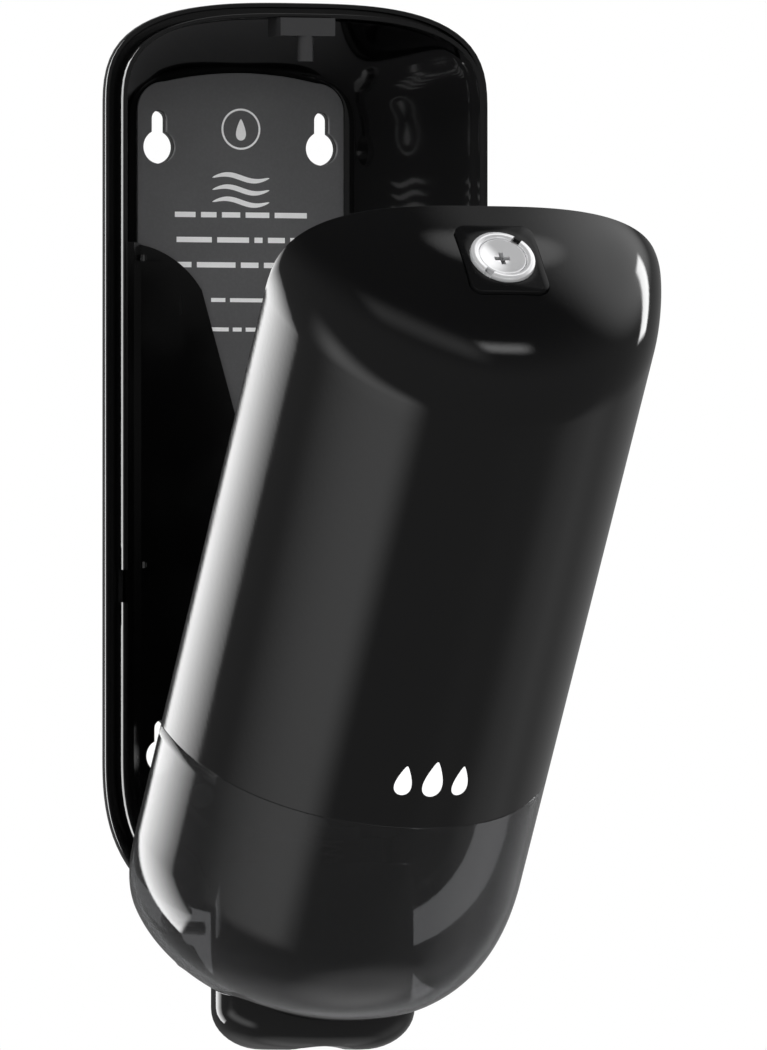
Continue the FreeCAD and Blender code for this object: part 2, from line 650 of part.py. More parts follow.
def return_springs():
    """Two compression springs between the lifter and the shelf, each a wire swept along a helix."""
    low = height(LIFTER_LEVEL + LIFTER_THICK) + SLIP
    rise = height(SHELF_LEVEL) - SLIP - low - 2 * SPRING_WIRE
    helix = Part.makeHelix(rise / SPRING_TURNS, rise, SPRING_RADIUS)
    section = Part.Wire([Part.Circle(Vector(SPRING_RADIUS, 0, 0), Y_AXIS, SPRING_WIRE / 2).toShape()])
    coil = Part.Wire(helix).makePipeShell([section], True, True)
    springs = []
    for x in (-SPRING_X, SPRING_X):
        spring = coil.copy()
        spring.translate(Vector(x, SPRING_Y, low + SPRING_WIRE))
        springs.append(spring)
    return Part.Compound(springs)


# ---------------------------------------------------------------- front cover surface
def section_depth(x, half, depth):
    """Depth of the cover in front of the rim plane at x, halfway up: an ellipse set back."""
    full = depth + SECTION_BACKSET
    wide = half / math.sqrt(1 - (SECTION_BACKSET / full) ** 2)
    return full * math.sqrt(1 - (x / wide) ** 2) - SECTION_BACKSET


def cover_slice(x, inset, count=9):
    """Points of the cover's outline in the plane at x, from its rim's top to its rim's bottom."""
    deep = section_depth(x, HALF - inset, COVER_DEPTH - inset)
    top_rise = arch_height(x, HALF - inset, TOP_ROUND - inset, TOP_POWER)
    low_rise = arch_height(x, HALF - inset, BOTTOM_ROUND - inset, BOTTOM_POWER)
    high, low = TOP_Z - TOP_ROUND, BOTTOM_Z + BOTTOM_ROUND
    points = []
    for step in range(count + 1):
        turn = math.pi / 2 * step / count
        points.append(Vector(x, COVER_Y - deep * math.sin(turn), high + top_rise * math.cos(turn)))
    for step in range(1, 6):
        points.append(Vector(x, COVER_Y - deep, high + (low - high) * step / 6))
    for step in range(count + 1):
        turn = math.pi / 2 * step / count
        points.append(Vector(x, COVER_Y - deep * math.cos(turn), low - low_rise * math.sin(turn)))
    return points


def cover_form(inset, columns=31):
    """Closed solid bounded by the cover's surface, drawn in by inset, and by the rim plane."""
    edge = HALF - inset - 0.12  # the slices stop just short of the sides, where they would shrink to lines
    rows = []
    for step in range(columns):
        turn = math.pi * (step / (columns - 1) - 0.5)
        rows.append(cover_slice(edge * math.sin(turn), inset))
    surface = Part.BSplineSurface()
    surface.interpolate(rows)
    u0, u1, v0, v1 = surface.bounds()
    left, right = surface.uIso(u0).toShape(), surface.uIso(u1).toShape()
    top, low = surface.vIso(v0).toShape(), surface.vIso(v1).toShape()
    left_line = Part.makeLine(rows[0][0], rows[0][-1])
    right_line = Part.makeLine(rows[-1][0], rows[-1][-1])
    back = Part.Wire(Part.__sortEdges__([top, left_line, low, right_line]))
    sides = [Part.Wire([left, left_line]), Part.Wire([right, right_line])]
    shell = Part.makeShell([surface.toShape()] + [Part.Face(wire) for wire in sides + [back]])
    shell.sewShape()
    solid = Part.Solid(shell)
    if solid.Volume < 0:
        solid.reverse()
    return solid


def window_zone():
    """Everything below the window's curved top edge."""
    start = Vector(0, RIM_Y + BEYOND, height(WINDOW_HEIGHT) - WINDOW_ARC)
    return rod(WINDOW_ARC, start, start - Y_AXIS * (COVER_DEPTH + 2 * BEYOND))


def bar_notch():
    """Cutter for the push bar's notch in the window's underside."""
    half = BAR_WIDTH / 2 + NOTCH_SIDE_GAP
    front = BAR_FRONT_Y - NOTCH_FRONT_GAP - CLEARANCE
    notch = box(-half, half, front, RIM_Y + 1, height(-NOTCH_RADIUS), height(NOTCH_TOP))
    corners = []
    for edge in notch.Edges:
        upright = abs(edge.tangentAt(edge.FirstParameter).z) > 0.99
        if upright and abs(edge.CenterOfMass.y - front) < 0.01:
            corners.append(edge)
    return notch.makeFillet(NOTCH_RADIUS, corners)


def cover_blank():
    """Cover and window in one piece, before they are parted at the window's edge."""
    return cover_form(0).cut(cover_form(COVER_WALL)).cut(bar_notch())


def front_cover(blank):
    width, length = [size + 2 * LOCK_SEAM for size in LOCK_PLATE]
    seat = rounded_box(width, length, LOCK_CORNER + LOCK_SEAM, -LOCK_DEPTH, LOCK_DEPTH)
    return blank.cut([window_zone(), placed(seat, lock_place())])


def hinge_lug():
    """Arm from the window's lower edge back to the hinge pin."""
    seat = rim_floor(LUG_INNER + LUG_WIDTH / 2)
    bend_y = HINGE.y - 9.0
    profile = [
        (HINGE.y, -LUG_RADIUS),
        (bend_y, -1.2),
        (COVER_Y - 0.7, 1.2),
        (COVER_Y - 10.7, seat + 0.6),
        (COVER_Y - 10.7, seat + 3.0),
        (COVER_Y - 0.6, seat + 2.2),
        (COVER_Y - 0.3, seat - 1.4),
        (bend_y, 3.0),
        (HINGE.y, LUG_RADIUS - 0.4),
    ]
    points = [Vector(LUG_INNER, y, height(level)) for y, level in profile]
    eye = rod(LUG_RADIUS, HINGE + X_AXIS * LUG_INNER, HINGE + X_AXIS * (LUG_INNER + LUG_WIDTH))
    return prism(points, X_AXIS * LUG_WIDTH).fuse(eye)


def level_window(blank):
    window = blank.common(window_zone()).fuse(both_sides(hinge_lug()))
    return window.cut(cross_rod(PIN_RADIUS + SLIP, HINGE))


# ---------------------------------------------------------------- lock, in its own upright frame
def lock_place():
    """Placement of the lock: its axis stands square on the cover's domed top."""
    share = LOCK_FORWARD / COVER_DEPTH
    fall = math.sqrt(1 - share**2)
    tilt = math.degrees(math.atan(TOP_ROUND / COVER_DEPTH * share / fall))
    spot = Vector(0, COVER_Y - LOCK_FORWARD, TOP_Z - TOP_ROUND * (1 - fall))
    return Placement(spot, Rotation(X_AXIS, tilt))


def placed(shape, place):
    moved = shape.copy()
    moved.Placement = place.multiply(moved.Placement)
    return moved


def lock_bezel():
    """Rounded plate that frames the lock, nearly flush with the cover."""
    width, length = LOCK_PLATE
    plate = rounded_box(width, length, LOCK_CORNER, PLATE_UNDER, PLATE_PROUD)
    return plate.cut(disc(LOCK_RADIUS + CLEARANCE / 2, PLATE_UNDER - 1, PLATE_PROUD + 1))


def lock_housing():
    width, length = LOCK_PLATE
    flange_low = PLATE_UNDER - HOUSING_FLANGE
    flange = rounded_box(width + 3, length, LOCK_CORNER + 1, flange_low, PLATE_UNDER)
    body = disc(TUBE_RADIUS + HOUSING_WALL, -HOUSING_DEPTH, flange_low)
    return flange.fuse(body).cut(disc(TUBE_RADIUS, -BEYOND, BEYOND))


def lock_ring():
    """Chromed lock body: a raised ring broken by two slots, and the threaded tube under it."""
    under = PLATE_UNDER + CLEARANCE
    head = disc(LOCK_RADIUS, under, RING_PROUD)
    head = head.makeFillet(RING_EDGE, edges_at(head, RING_PROUD))
    tube = disc(TUBE_RADIUS, -LOCK_DEPTH + CLEARANCE, under)
    bore = disc(PLUG_RADIUS + SLIP, -BEYOND, BEYOND)
    face = disc(FACE_RADIUS + SLIP, FACE_DEPTH, BEYOND)
    slot = box(-RING_SLOT / 2, RING_SLOT / 2, -LOCK_RADIUS - 1, LOCK_RADIUS + 1, FACE_DEPTH, RING_PROUD + 1)
    slot.rotate(ORIGIN, Z_AXIS, RING_SLOT_TURN)
    return head.fuse(tube).cut([bore, face, slot])


def lock_barrel():
    """Plug that the key turns, with a dished face and a square tang for the cam."""
    face = disc(FACE_RADIUS, FACE_DEPTH, FACE_TOP)
    dish = Part.makeSphere(DISH_RADIUS, Vector(0, 0, FACE_TOP + DISH_RADIUS - DISH_DEPTH))
    body = disc(PLUG_RADIUS, -LOCK_DEPTH, FACE_DEPTH)
    tang = box(-TANG / 2, TANG / 2, -TANG / 2, TANG / 2, CAM_LOW, -LOCK_DEPTH)
    long, wide = [size / 2 for size in KEYWAY]
    keyway = box(-wide, wide, -long, long, -KEYWAY_DEPTH, FACE_TOP + 1)
    cross = box(-long, long, -wide, wide, -KEYWAY_DEPTH, FACE_TOP + 1)
    return face.cut(dish).fuse([body, tang]).cut([keyway, cross])


def lock_nut():
    """Hexagonal nut that clamps the threaded tube under the housing."""
    reach = 2 * (TUBE_RADIUS + NUT_WALL) / math.sqrt(3)
    corners = []
    for step in range(6):
        turn = math.radians(60 * step)
        corners.append(Vector(reach * math.cos(turn), reach * math.sin(turn), -HOUSING_DEPTH))
    return prism(corners, Z_AXIS * -NUT_THICK).cut(disc(TUBE_RADIUS, -BEYOND, BEYOND))


def lock_cam():
    """Sickle-shaped cam, drawn locked: its tongue lies behind the keeper's leg."""
    inner, outer = CAM_RING
    ring = disc(outer, CAM_LOW, -LOCK_DEPTH).cut(disc(inner, CAM_LOW - 1, 1 - LOCK_DEPTH))
    start, end = [math.radians(angle) for angle in CAM_SPAN]
    reach = 2 * outer
    sector = [
        Vector(0, 0, CAM_LOW),
        Vector(reach * math.sin(start), reach * math.cos(start), CAM_LOW),
        Vector(0, reach, CAM_LOW),
        Vector(reach * math.sin(end), reach * math.cos(end), CAM_LOW),
    ]
    tongue = ring.common(prism(sector, Z_AXIS * CAM_THICK))
    arm = box(-CAM_ARM / 2, CAM_ARM / 2, 0, outer, CAM_LOW, -LOCK_DEPTH)
    arm.rotate(ORIGIN, Z_AXIS, CAM_ARM_TURN)
    arm = arm.common(disc(outer - SLIP, CAM_LOW, -LOCK_DEPTH))
    hub = disc(CAM_HUB, CAM_LOW, -LOCK_DEPTH)
    square = box(-TANG / 2, TANG / 2, -TANG / 2, TANG / 2, CAM_LOW - 1, 1 - LOCK_DEPTH)
    return hub.fuse([tongue, arm]).cut(square)


def cam_screw():
    head = disc(CAM_SCREW_RADIUS, CAM_LOW - CAM_SCREW_HEIGHT, CAM_LOW)
    wide = RECESS_WIDTH / 2
    slot_top = CAM_LOW - CAM_SCREW_HEIGHT + RECESS_DEPTH
    return head.cut(box(-BEYOND, BEYOND, -wide, wide, CAM_LOW - CAM_SCREW_HEIGHT - 1, slot_top))


def unlocked(shape):
    """Turn a lock piece a quarter turn from its locked to its unlocked position."""
    turned = shape.copy()
    turned.rotate(ORIGIN, Z_AXIS, -90)
    return turned


def opened(shape):
    """Swing a cover piece from the closed to the open pose."""
    swung = shape.copy()
    swung.rotate(HINGE, X_AXIS, COVER_OPEN)
    return swung


# ---------------------------------------------------------------- assembly
def build():
    os.makedirs("parts", exist_ok=True)
    for make in (
        back_shell, info_plate, refill_cradle, latch_keeper, hinge_pins, pump_bracket, bracket_screws,
        push_bar_pins, push_bar, lift_fork, pump_lifter, return_springs,
    ):
        write(make.__name__, make())
    blank = cover_blank()
    write("front_cover", opened(front_cover(blank)))
    write("level_window", opened(level_window(blank)))
    place = lock_place()
    for make in (lock_bezel, lock_housing, lock_ring, lock_nut):
        write(make.__name__, opened(placed(make(), place)))
    for make in (lock_barrel, lock_cam, cam_screw):
        write(make.__name__, opened(placed(unlocked(make()), place)))
    lock = opened(Part.Vertex(place.Base)).Point
    tilt = math.degrees(place.Rotation.Angle) + COVER_OPEN
    print(f"hinge {HINGE}, pivot {PIVOT}, lock {lock} tilted {tilt:.4f}, lift {LIFT:.4f}")


build()
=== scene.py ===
"""Wall-mounted soap dispenser, stored with its front cover swung open.

Sizes of the object are in millimetres, and the camera and the floor are placed in metres.
"""

import math

import bmesh
import bpy
import numpy as np
from mathutils import Matrix, Vector
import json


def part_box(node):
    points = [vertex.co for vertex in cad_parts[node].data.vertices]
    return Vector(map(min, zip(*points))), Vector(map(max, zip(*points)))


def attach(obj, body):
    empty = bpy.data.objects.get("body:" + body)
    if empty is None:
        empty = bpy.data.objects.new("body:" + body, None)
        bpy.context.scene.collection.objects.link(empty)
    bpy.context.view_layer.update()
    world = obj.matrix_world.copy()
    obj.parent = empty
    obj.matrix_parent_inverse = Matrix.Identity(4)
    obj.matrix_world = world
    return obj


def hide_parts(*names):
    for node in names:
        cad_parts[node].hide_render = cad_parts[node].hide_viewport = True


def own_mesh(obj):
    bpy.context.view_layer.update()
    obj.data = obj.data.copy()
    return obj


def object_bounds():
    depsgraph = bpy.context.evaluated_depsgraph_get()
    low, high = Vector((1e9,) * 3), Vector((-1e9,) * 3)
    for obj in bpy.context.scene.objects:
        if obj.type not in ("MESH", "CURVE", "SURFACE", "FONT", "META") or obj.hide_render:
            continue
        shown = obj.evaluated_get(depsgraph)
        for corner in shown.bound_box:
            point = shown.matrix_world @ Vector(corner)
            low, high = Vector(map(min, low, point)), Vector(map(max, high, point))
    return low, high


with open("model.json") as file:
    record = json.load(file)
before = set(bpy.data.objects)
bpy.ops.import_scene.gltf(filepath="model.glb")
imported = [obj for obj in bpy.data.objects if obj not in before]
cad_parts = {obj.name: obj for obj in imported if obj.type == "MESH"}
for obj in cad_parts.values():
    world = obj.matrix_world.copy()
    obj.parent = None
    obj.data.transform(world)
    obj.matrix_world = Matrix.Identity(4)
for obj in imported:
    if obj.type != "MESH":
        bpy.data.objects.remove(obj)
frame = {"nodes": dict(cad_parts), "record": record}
cad_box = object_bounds()

# ---------------------------------------------------------------------------------------- studio
# A bright cyclorama is what the lens sees. The gloss plastic mirrors a dim room instead, with soft
# boxes hung round the dispenser, and a pale floor lies well below it, as below a wall.
MM = 0.001
joints = {joint["name"]: joint for joint in frame["record"]["behaviour"]["joints"]}
hinge_y, hinge_z = [value / MM for value in joints["cover_hinge"]["pos_m"][1:]]

CAMERA_TURN = 19.14  # degrees to the dispenser's left
CAMERA_REACH = 6.0  # metres
CAMERA_AIM = (0.0389, -0.0135, -0.0203)
CAMERA_LENS = 1008.2
FLOOR_DROP = 0.09  # below the dispenser's lowest point
FLOOR_SIZE = 1.6  # half its side
FLOOR_GLOW = 0.55


def placed(name, data):
    """New object in the scene that shows a mesh or a camera."""
    made = bpy.data.objects.new(name, data)
    bpy.context.scene.collection.objects.link(made)
    return made


turn = math.radians(CAMERA_TURN)
camera = placed("camera", bpy.data.cameras.new("camera"))
camera.location = (-CAMERA_REACH * math.sin(turn), -CAMERA_REACH * math.cos(turn), hinge_z * MM)
camera.rotation_mode = "QUATERNION"
camera.rotation_quaternion = (Vector(CAMERA_AIM) - camera.location).to_track_quat("-Z", "Y")
camera.data.sensor_fit = "HORIZONTAL"
camera.data.sensor_width = 36
camera.data.lens = CAMERA_LENS
camera.data.clip_start = 0.1
camera.data.clip_end = 60
bpy.context.scene.camera = camera
bpy.context.scene.view_settings.view_transform = "Standard"

world = bpy.data.worlds.new("studio")
world.use_nodes = True
bpy.context.scene.world = world
world.node_tree.nodes.clear()


def node(tree, kind, **settings):
    """Add a shader node; settings that name an input set its value, the others are properties."""
    made = tree.nodes.new(kind)
    for key, value in settings.items():
        if hasattr(made, key):
            setattr(made, key, value)
        else:
            made.inputs[key.replace("_", " ")].default_value = value
    return made


def math_node(tree, operation, first, second=None):
    """Result of a Math node; first and second are sockets or numbers."""
    made = tree.nodes.new("ShaderNodeMath")
    made.operation = operation
    for socket, value in zip(made.inputs, (first, second)):
        if isinstance(value, bpy.types.NodeSocket):
            tree.links.new(value, socket)
        elif value is not None:
            socket.default_value = value
    return made.outputs[0]


def aim(azimuth, elevation):
    """Unit vector; azimuth 0 points away from the wall and 90 to the dispenser's right."""
    a, e = math.radians(azimuth), math.radians(elevation)
    return Vector((math.sin(a) * math.cos(e), -math.cos(a) * math.cos(e), math.sin(e)))


sky = node(world.node_tree, "ShaderNodeTexCoord").outputs["Generated"]


def along(axis):
    """How far the looked-at direction of the sky points along an axis, from -1 to 1."""
    made = node(world.node_tree, "ShaderNodeVectorMath", operation="DOT_PRODUCT")
    world.node_tree.links.new(sky, made.inputs[0])
    made.inputs[1].default_value = axis
    return made.outputs["Value"]


def fade(value, start, end, low, high):
    """Smooth step of a value from low at start to high at end."""
    made = node(world.node_tree, "ShaderNodeMapRange", interpolation_type="SMOOTHSTEP")
    world.node_tree.links.new(value, made.inputs["Value"])
    for socket, number in zip(("From Min", "From Max", "To Min", "To Max"), (start, end, low, high)):
        made.inputs[socket].default_value = number
    return made.outputs[0]


def soft_box(azimuth, elevation, width, height, soft, power, lean=0.0, dim=1.0):
    """Glow of a rectangular soft box: half width, half height and soft edge in degrees, lean clockwise.

    dim is the share of its power left at the side of higher azimuth.
    """
    tree = world.node_tree
    centre = aim(azimuth, elevation)
    right = centre.cross(Vector((0, 0, 1))).normalized()
    up = right.cross(centre)
    spin = Matrix.Rotation(math.radians(lean), 3, centre)
    ahead = along(centre)
    glow = fade(ahead, 0.0, 0.1, 0.0, power)
    for axis, half in ((spin @ right, width), (spin @ up, height)):
        offset = math_node(tree, "DIVIDE", along(axis), math_node(tree, "MAXIMUM", ahead, 0.05))
        inner, outer = [math.tan(math.radians(max(half + s * soft, 0))) for s in (-1, 1)]
        edge = fade(math_node(tree, "ABSOLUTE", offset), inner, outer, 1.0, 0.0)
        glow = math_node(tree, "MULTIPLY", glow, edge)
        if dim < 1 and half == width:
            ramp = node(tree, "ShaderNodeMapRange", interpolation_type="LINEAR")
            tree.links.new(offset, ramp.inputs["Value"])
            for socket, number in zip(("From Min", "From Max", "To Min"), (-outer, outer, dim)):
                ramp.inputs[socket].default_value = number
            glow = math_node(tree, "MULTIPLY", glow, ramp.outputs[0])
    return glow


def round_glow(azimuth, elevation, core, reach, power):
    """Glow of a round soft light: full within core degrees of its middle, gone beyond reach degrees."""
    edge, full = [math.cos(math.radians(angle)) for angle in (reach, core)]
    return fade(along(aim(azimuth, elevation)), edge, full, 0.0, power)


upward = along(Vector((0, 0, 1)))
glows = [
    fade(upward, 0.15, 0.85, 0.21, 0.045),  # room, dim overhead
    round_glow(135, -73, 10, 31, 0.48),  # light coming up from behind and below
    round_glow(172, -52, 10, 32, 0.2),  # its weaker spill behind the wall
    soft_box(102, -36, 12, 14, 9, 0.15),  # faint light low on the right
    soft_box(-139.5, 9, 8.6, 35, 0.9, 9.0, lean=3, dim=0.04),  # tall strip on the left
    soft_box(-94.5, -30, 8, 24, 8.5, 1.12, lean=38),  # soft light low on the left
    round_glow(100, 42, 10, 33, 1.12),  # large light high on the right
    soft_box(108, 18, 4.5, 14, 1.5, 8.0),  # strip beside it
    round_glow(92, 70, 3, 8, 0.9),  # small light over the lock
    soft_box(18, 39, 8, 2.2, 3, 2.4),  # short bright bar above the front
    soft_box(-25, 37, 24, 5, 7, 0.42),  # wide dim box beside it
]
glow = glows[0]
for more in glows[1:]:
    glow = math_node(world.node_tree, "ADD", glow, more)
daylight = fade(along(aim(-50, 25)), -1.0, 1.0, 1.0, 1.5)  # even light that fills matte surfaces


def backdrop(strength):
    """White background shader; its strength is a socket or a number."""
    made = node(world.node_tree, "ShaderNodeBackground")
    made.inputs["Color"].default_value = (1, 1, 1, 1)
    if isinstance(strength, bpy.types.NodeSocket):
        world.node_tree.links.new(strength, made.inputs["Strength"])
    else:
        made.inputs["Strength"].default_value = strength
    return made.outputs[0]


def chosen(factor, first, second):
    """First shader where the factor is 0, second where it is 1."""
    made = node(world.node_tree, "ShaderNodeMixShader")
    for socket, value in zip(made.inputs, (factor, first, second)):
        world.node_tree.links.new(value, socket)
    return made.outputs[0]


seen = node(world.node_tree, "ShaderNodeLightPath").outputs
direct = math_node(world.node_tree, "MAXIMUM", seen["Is Camera Ray"], seen["Is Transmission Ray"])
surroundings = chosen(seen["Is Diffuse Ray"], backdrop(glow), backdrop(daylight))
world_out = node(world.node_tree, "ShaderNodeOutputWorld")
world.node_tree.links.new(chosen(direct, surroundings, backdrop(1.0)), world_out.inputs["Surface"])


def material(name):
    """New node material with its Principled BSDF."""
    made = bpy.data.materials.new(name)
    made.use_nodes = True
    return made, made.node_tree, made.node_tree.nodes["Principled BSDF"]


def object_point(tree):
    """Place on the piece, which stays with it as it moves."""
    return node(tree, "ShaderNodeTexCoord").outputs["Object"]


floor_mesh = bpy.data.meshes.new("floor")
floor_z = cad_box[0].z - FLOOR_DROP
floor_mesh.from_pydata(
    [(x * FLOOR_SIZE, y * FLOOR_SIZE, floor_z) for x, y in ((-1, -1), (1, -1), (1, 1), (-1, 1))],
    [],
    [(0, 1, 2, 3)],
)
floor = placed("floor", floor_mesh)
floor_paint, floor_tree, floor_shader = material("floor_paint")
floor_shader.inputs["Base Color"].default_value = (0.8, 0.8, 0.8, 1)
floor_shader.inputs["Roughness"].default_value = 0.9
floor_shader.inputs["Emission Color"].default_value = (1, 1, 1, 1)
floor_shader.inputs["Emission Strength"].default_value = FLOOR_GLOW
see_through = node(floor_tree, "ShaderNodeBsdfTransparent")
floor_mix = node(floor_tree, "ShaderNodeMixShader")
floor_tree.links.new(node(floor_tree, "ShaderNodeNewGeometry").outputs["Backfacing"], floor_mix.inputs[0])
floor_tree.links.new(floor_shader.outputs[0], floor_mix.inputs[1])
floor_tree.links.new(see_through.outputs[0], floor_mix.inputs[2])
floor_tree.links.new(floor_mix.outputs[0], floor_tree.nodes["Material Output"].inputs["Surface"])
floor_mesh.materials.append(floor_paint)
floor.visible_glossy = False
floor.visible_diffuse = False

# ------------------------------------------------------------------------------------ back shell
# The housing that hangs on the wall: one deep tray of gloss black plastic, moulded with a groove
# and a thin tongue round its rim, and keyholes in its back.
shell_low, shell_high = [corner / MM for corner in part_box("back_shell")]
HALF = shell_high.x
TOP = shell_high.z
LOW = hinge_z
TONGUE_HEIGHT = 5.6
RIM_Y = shell_low.y + TONGUE_HEIGHT
TOP_ROUND = 30.0
TOP_POWER = 3.0
LOW_ROUND = 48.0
LOW_POWER = 2.6
BACK_HALF = 35.0
BACK_FALL = 14.0  # how far roof and floor draw in towards the wall
ROUND_SHARE = 0.3  # how much smaller the corner rounding is at the wall
FLARE_POWER = 1.12
RIM_BAND = 3.0
BACK_WALL = 2.5
LIP_WALL = 1.4
TONGUE_INSET = 3.1
TONGUE_WALL = 1.3
GROOVE_DEPTH = 3.0
EDGE = 0.3  # moulded edge radius
CAVITY_FILLET = 3.0
KEYHOLE_X = 24.0
KEYHOLE_Z = 85.0
KEYHOLE_RADIUS = 4.65
KEYHOLE_SLOT = 4.5
KEYHOLE_LENGTH = 14.7
WALL_CUT = (-6.0, 2.0)  # where a cut through the back wall starts and ends
SHELL_COLOUR = (0.005, 0.005, 0.0052, 1)


def even(points, count):
    """The same open curve with count + 1 points spaced evenly along it."""
    points = np.array(points, float)
    run = np.concatenate([[0], np.cumsum(np.linalg.norm(np.diff(points, axis=0), axis=1))])
    at = np.linspace(0, run[-1], count + 1)
    return np.stack([np.interp(at, run, points[:, k]) for k in range(points.shape[1])], axis=1)


def arch(half, rise, power, count):
    """Quarter of a superellipse from its side (half, 0) to its crown (0, rise)."""
    turns = np.linspace(0, math.pi / 2, 400)
    curve = [(half * math.cos(t) ** (2 / power), rise * math.sin(t) ** (2 / power)) for t in turns]
    curve[-1] = (0.0, rise)
    return even(curve, count)


def rim_ring(half, top, low, top_round, low_round, y):
    """Closed ring of points of the rim's shape, from the bottom's middle up the right side."""
    lower = arch(half, low_round, LOW_POWER, 30)[::-1] * (1, -1) + (0, low + low_round)
    upper = arch(half, top_round, TOP_POWER, 26) + (0, top - top_round)
    side = np.linspace(lower[-1], upper[0], 22)[1:-1]
    right = np.concatenate([lower, side, upper])
    ring = np.concatenate([right, (right * (-1, 1))[-2:0:-1]])
    return np.stack([ring[:, 0], np.full(len(ring), y), ring[:, 1]], axis=1)


def inset_ring(inset, y):
    """Ring of the rim's shape, drawn in all round by the inset."""
    return rim_ring(HALF - inset, TOP - inset, LOW + inset, TOP_ROUND - inset, LOW_ROUND - inset, y)


def flared_ring(rim_inset, back_inset, y_rim, y_back, share):
    """Ring of the tray between its rim (share 0) and its back (share 1)."""
    flare = share**FLARE_POWER
    inset = rim_inset + (back_inset - rim_inset) * share
    return rim_ring(
        HALF - (HALF - BACK_HALF) * flare - inset,
        TOP - BACK_FALL * flare - inset,
        LOW + BACK_FALL * flare + inset,
        TOP_ROUND * (1 - ROUND_SHARE * flare) - inset,
        LOW_ROUND * (1 - ROUND_SHARE * flare) - inset,
        y_rim + (y_back - y_rim) * share,
    )


def solid(name, points, faces):
    """New object from points in millimetres, with doubled points joined and faces turned outwards."""
    mesh = bpy.data.meshes.new(name)
    mesh.from_pydata([tuple(point) for point in np.array(points, float) * MM], [], faces)
    form = bmesh.new()
    form.from_mesh(mesh)
    bmesh.ops.remove_doubles(form, verts=form.verts, dist=1e-6)
    bmesh.ops.dissolve_degenerate(form, edges=form.edges, dist=1e-7)
    bmesh.ops.recalc_face_normals(form, faces=form.faces)
    form.to_mesh(mesh)
    form.free()
    return placed(name, mesh)


def lofted(name, rings, capped=True):
    """Closed solid through rings of equally many points, with flat ends or with its ends joined."""
    count = len(rings[0])
    faces = []
    if capped:
        last = (len(rings) - 1) * count
        faces = [tuple(range(count)), tuple(range(last, last + count))]
    for level in range(len(rings) - 1):
        for i in range(count):
            a, b = level * count + i, level * count + (i + 1) % count
            faces.append((a, b, b + count, a + count))
    return solid(name, np.concatenate(rings), faces)


def prism(name, corners, run):
    """Straight prism from a closed outline of 3-D points."""
    corners = np.array(corners, float)
    return lofted(name, [corners, corners + np.array(run, float)])


def joined(name, parts):
    """One object from several."""
    form = bmesh.new()
    for part in parts:
        form.from_mesh(part.data)
        bpy.data.objects.remove(part)
    mesh = bpy.data.meshes.new(name)
    form.to_mesh(mesh)
    form.free()
    return placed(name, mesh)


def bake_modifiers(piece):
    """Turn the piece's modifiers into its mesh."""
    graph = bpy.context.evaluated_depsgraph_get()
    mesh = bpy.data.meshes.new_from_object(piece.evaluated_get(graph))
    piece.modifiers.clear()
    piece.data = mesh


def carve(piece, cutters):
    """Cut other objects out of the piece and remove them."""
    for cutter in cutters:
        change = piece.modifiers.new("carve", "BOOLEAN")
        change.operation = "DIFFERENCE"
        change.solver = "EXACT"
        change.object = cutter
        bake_modifiers(piece)
        bpy.data.objects.remove(cutter)
    return piece


def finished(piece, paint, body, edge=0.0, angle=35.0, stands_for=()):
    """Smooth the piece, round its edges, give it its material and fasten it to its body."""
    piece.data.materials.clear()
    piece.data.materials.append(paint)
    piece.data.polygons.foreach_set("material_index", [0] * len(piece.data.polygons))
    piece.data.polygons.foreach_set("use_smooth", [True] * len(piece.data.polygons))
    piece.data.set_sharp_from_angle(angle=math.radians(angle))
    if edge:
        rounding = piece.modifiers.new("edge", "BEVEL")
        rounding.width = edge * MM
        rounding.segments = 2
        rounding.limit_method = "ANGLE"
        rounding.angle_limit = math.radians(angle)
        rounding.harden_normals = True
    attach(piece, body)
    if stands_for:
        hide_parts(*stands_for)
    return piece


def circle(radius, count=48, centre=(0, 0), start=0.0, end=360.0):
    """Points (u, v) along an arc, the last one left out of a full turn."""
    full = abs(end - start) >= 360
    turns = np.radians(np.linspace(start, end, count + 1)[: count if full else count + 1])
    return np.stack([centre[0] + radius * np.cos(turns), centre[1] + radius * np.sin(turns)], axis=1)


def keyhole_outline(x, z):
    """Outline (x, z) of a round entry with a narrow slot above it."""
    half = KEYHOLE_SLOT / 2
    rise = KEYHOLE_LENGTH - KEYHOLE_RADIUS - half
    meet = math.degrees(math.acos(half / KEYHOLE_RADIUS))
    entry = circle(KEYHOLE_RADIUS, 40, (x, z), 180 - meet, 360 + meet)
    crown = circle(half, 16, (x, z + rise), 0, 180)
    return np.concatenate([entry, crown])


def keyholes(grow=0.0):
    """Cutters for the four keyholes, larger by the share to grow."""
    cutters = []
    for x in (-KEYHOLE_X, KEYHOLE_X):
        for z in (-KEYHOLE_Z, KEYHOLE_Z):
            outline = keyhole_outline(x, z)
            outline = (outline - (x, z)) * (1 + grow) + (x, z)
            corners = [(u, WALL_CUT[0], v) for u, v in outline]
            cutters.append(prism("keyhole", corners, (0, WALL_CUT[1] - WALL_CUT[0], 0)))
    return cutters


def block(x0, x1, y0, y1, z0, z1):
    """Cutter in the shape of a box."""
    return prism("block", [(x0, y0, z0), (x1, y0, z0), (x1, y0, z1), (x0, y0, z1)], (0, y1 - y0, 0))


def rounding(inset0, y0, inset1, y1):
    """Rings of a quarter round between two profile points; the first leaves along Y."""
    rings = []
    for share in (0.0, 0.5, 1.0):
        a = share * math.pi / 2
        inset = inset0 + (inset1 - inset0) * (1 - math.cos(a))
        y = y0 + (y1 - y0) * math.sin(a)
        rings.append(inset_ring(inset, y))
    return rings


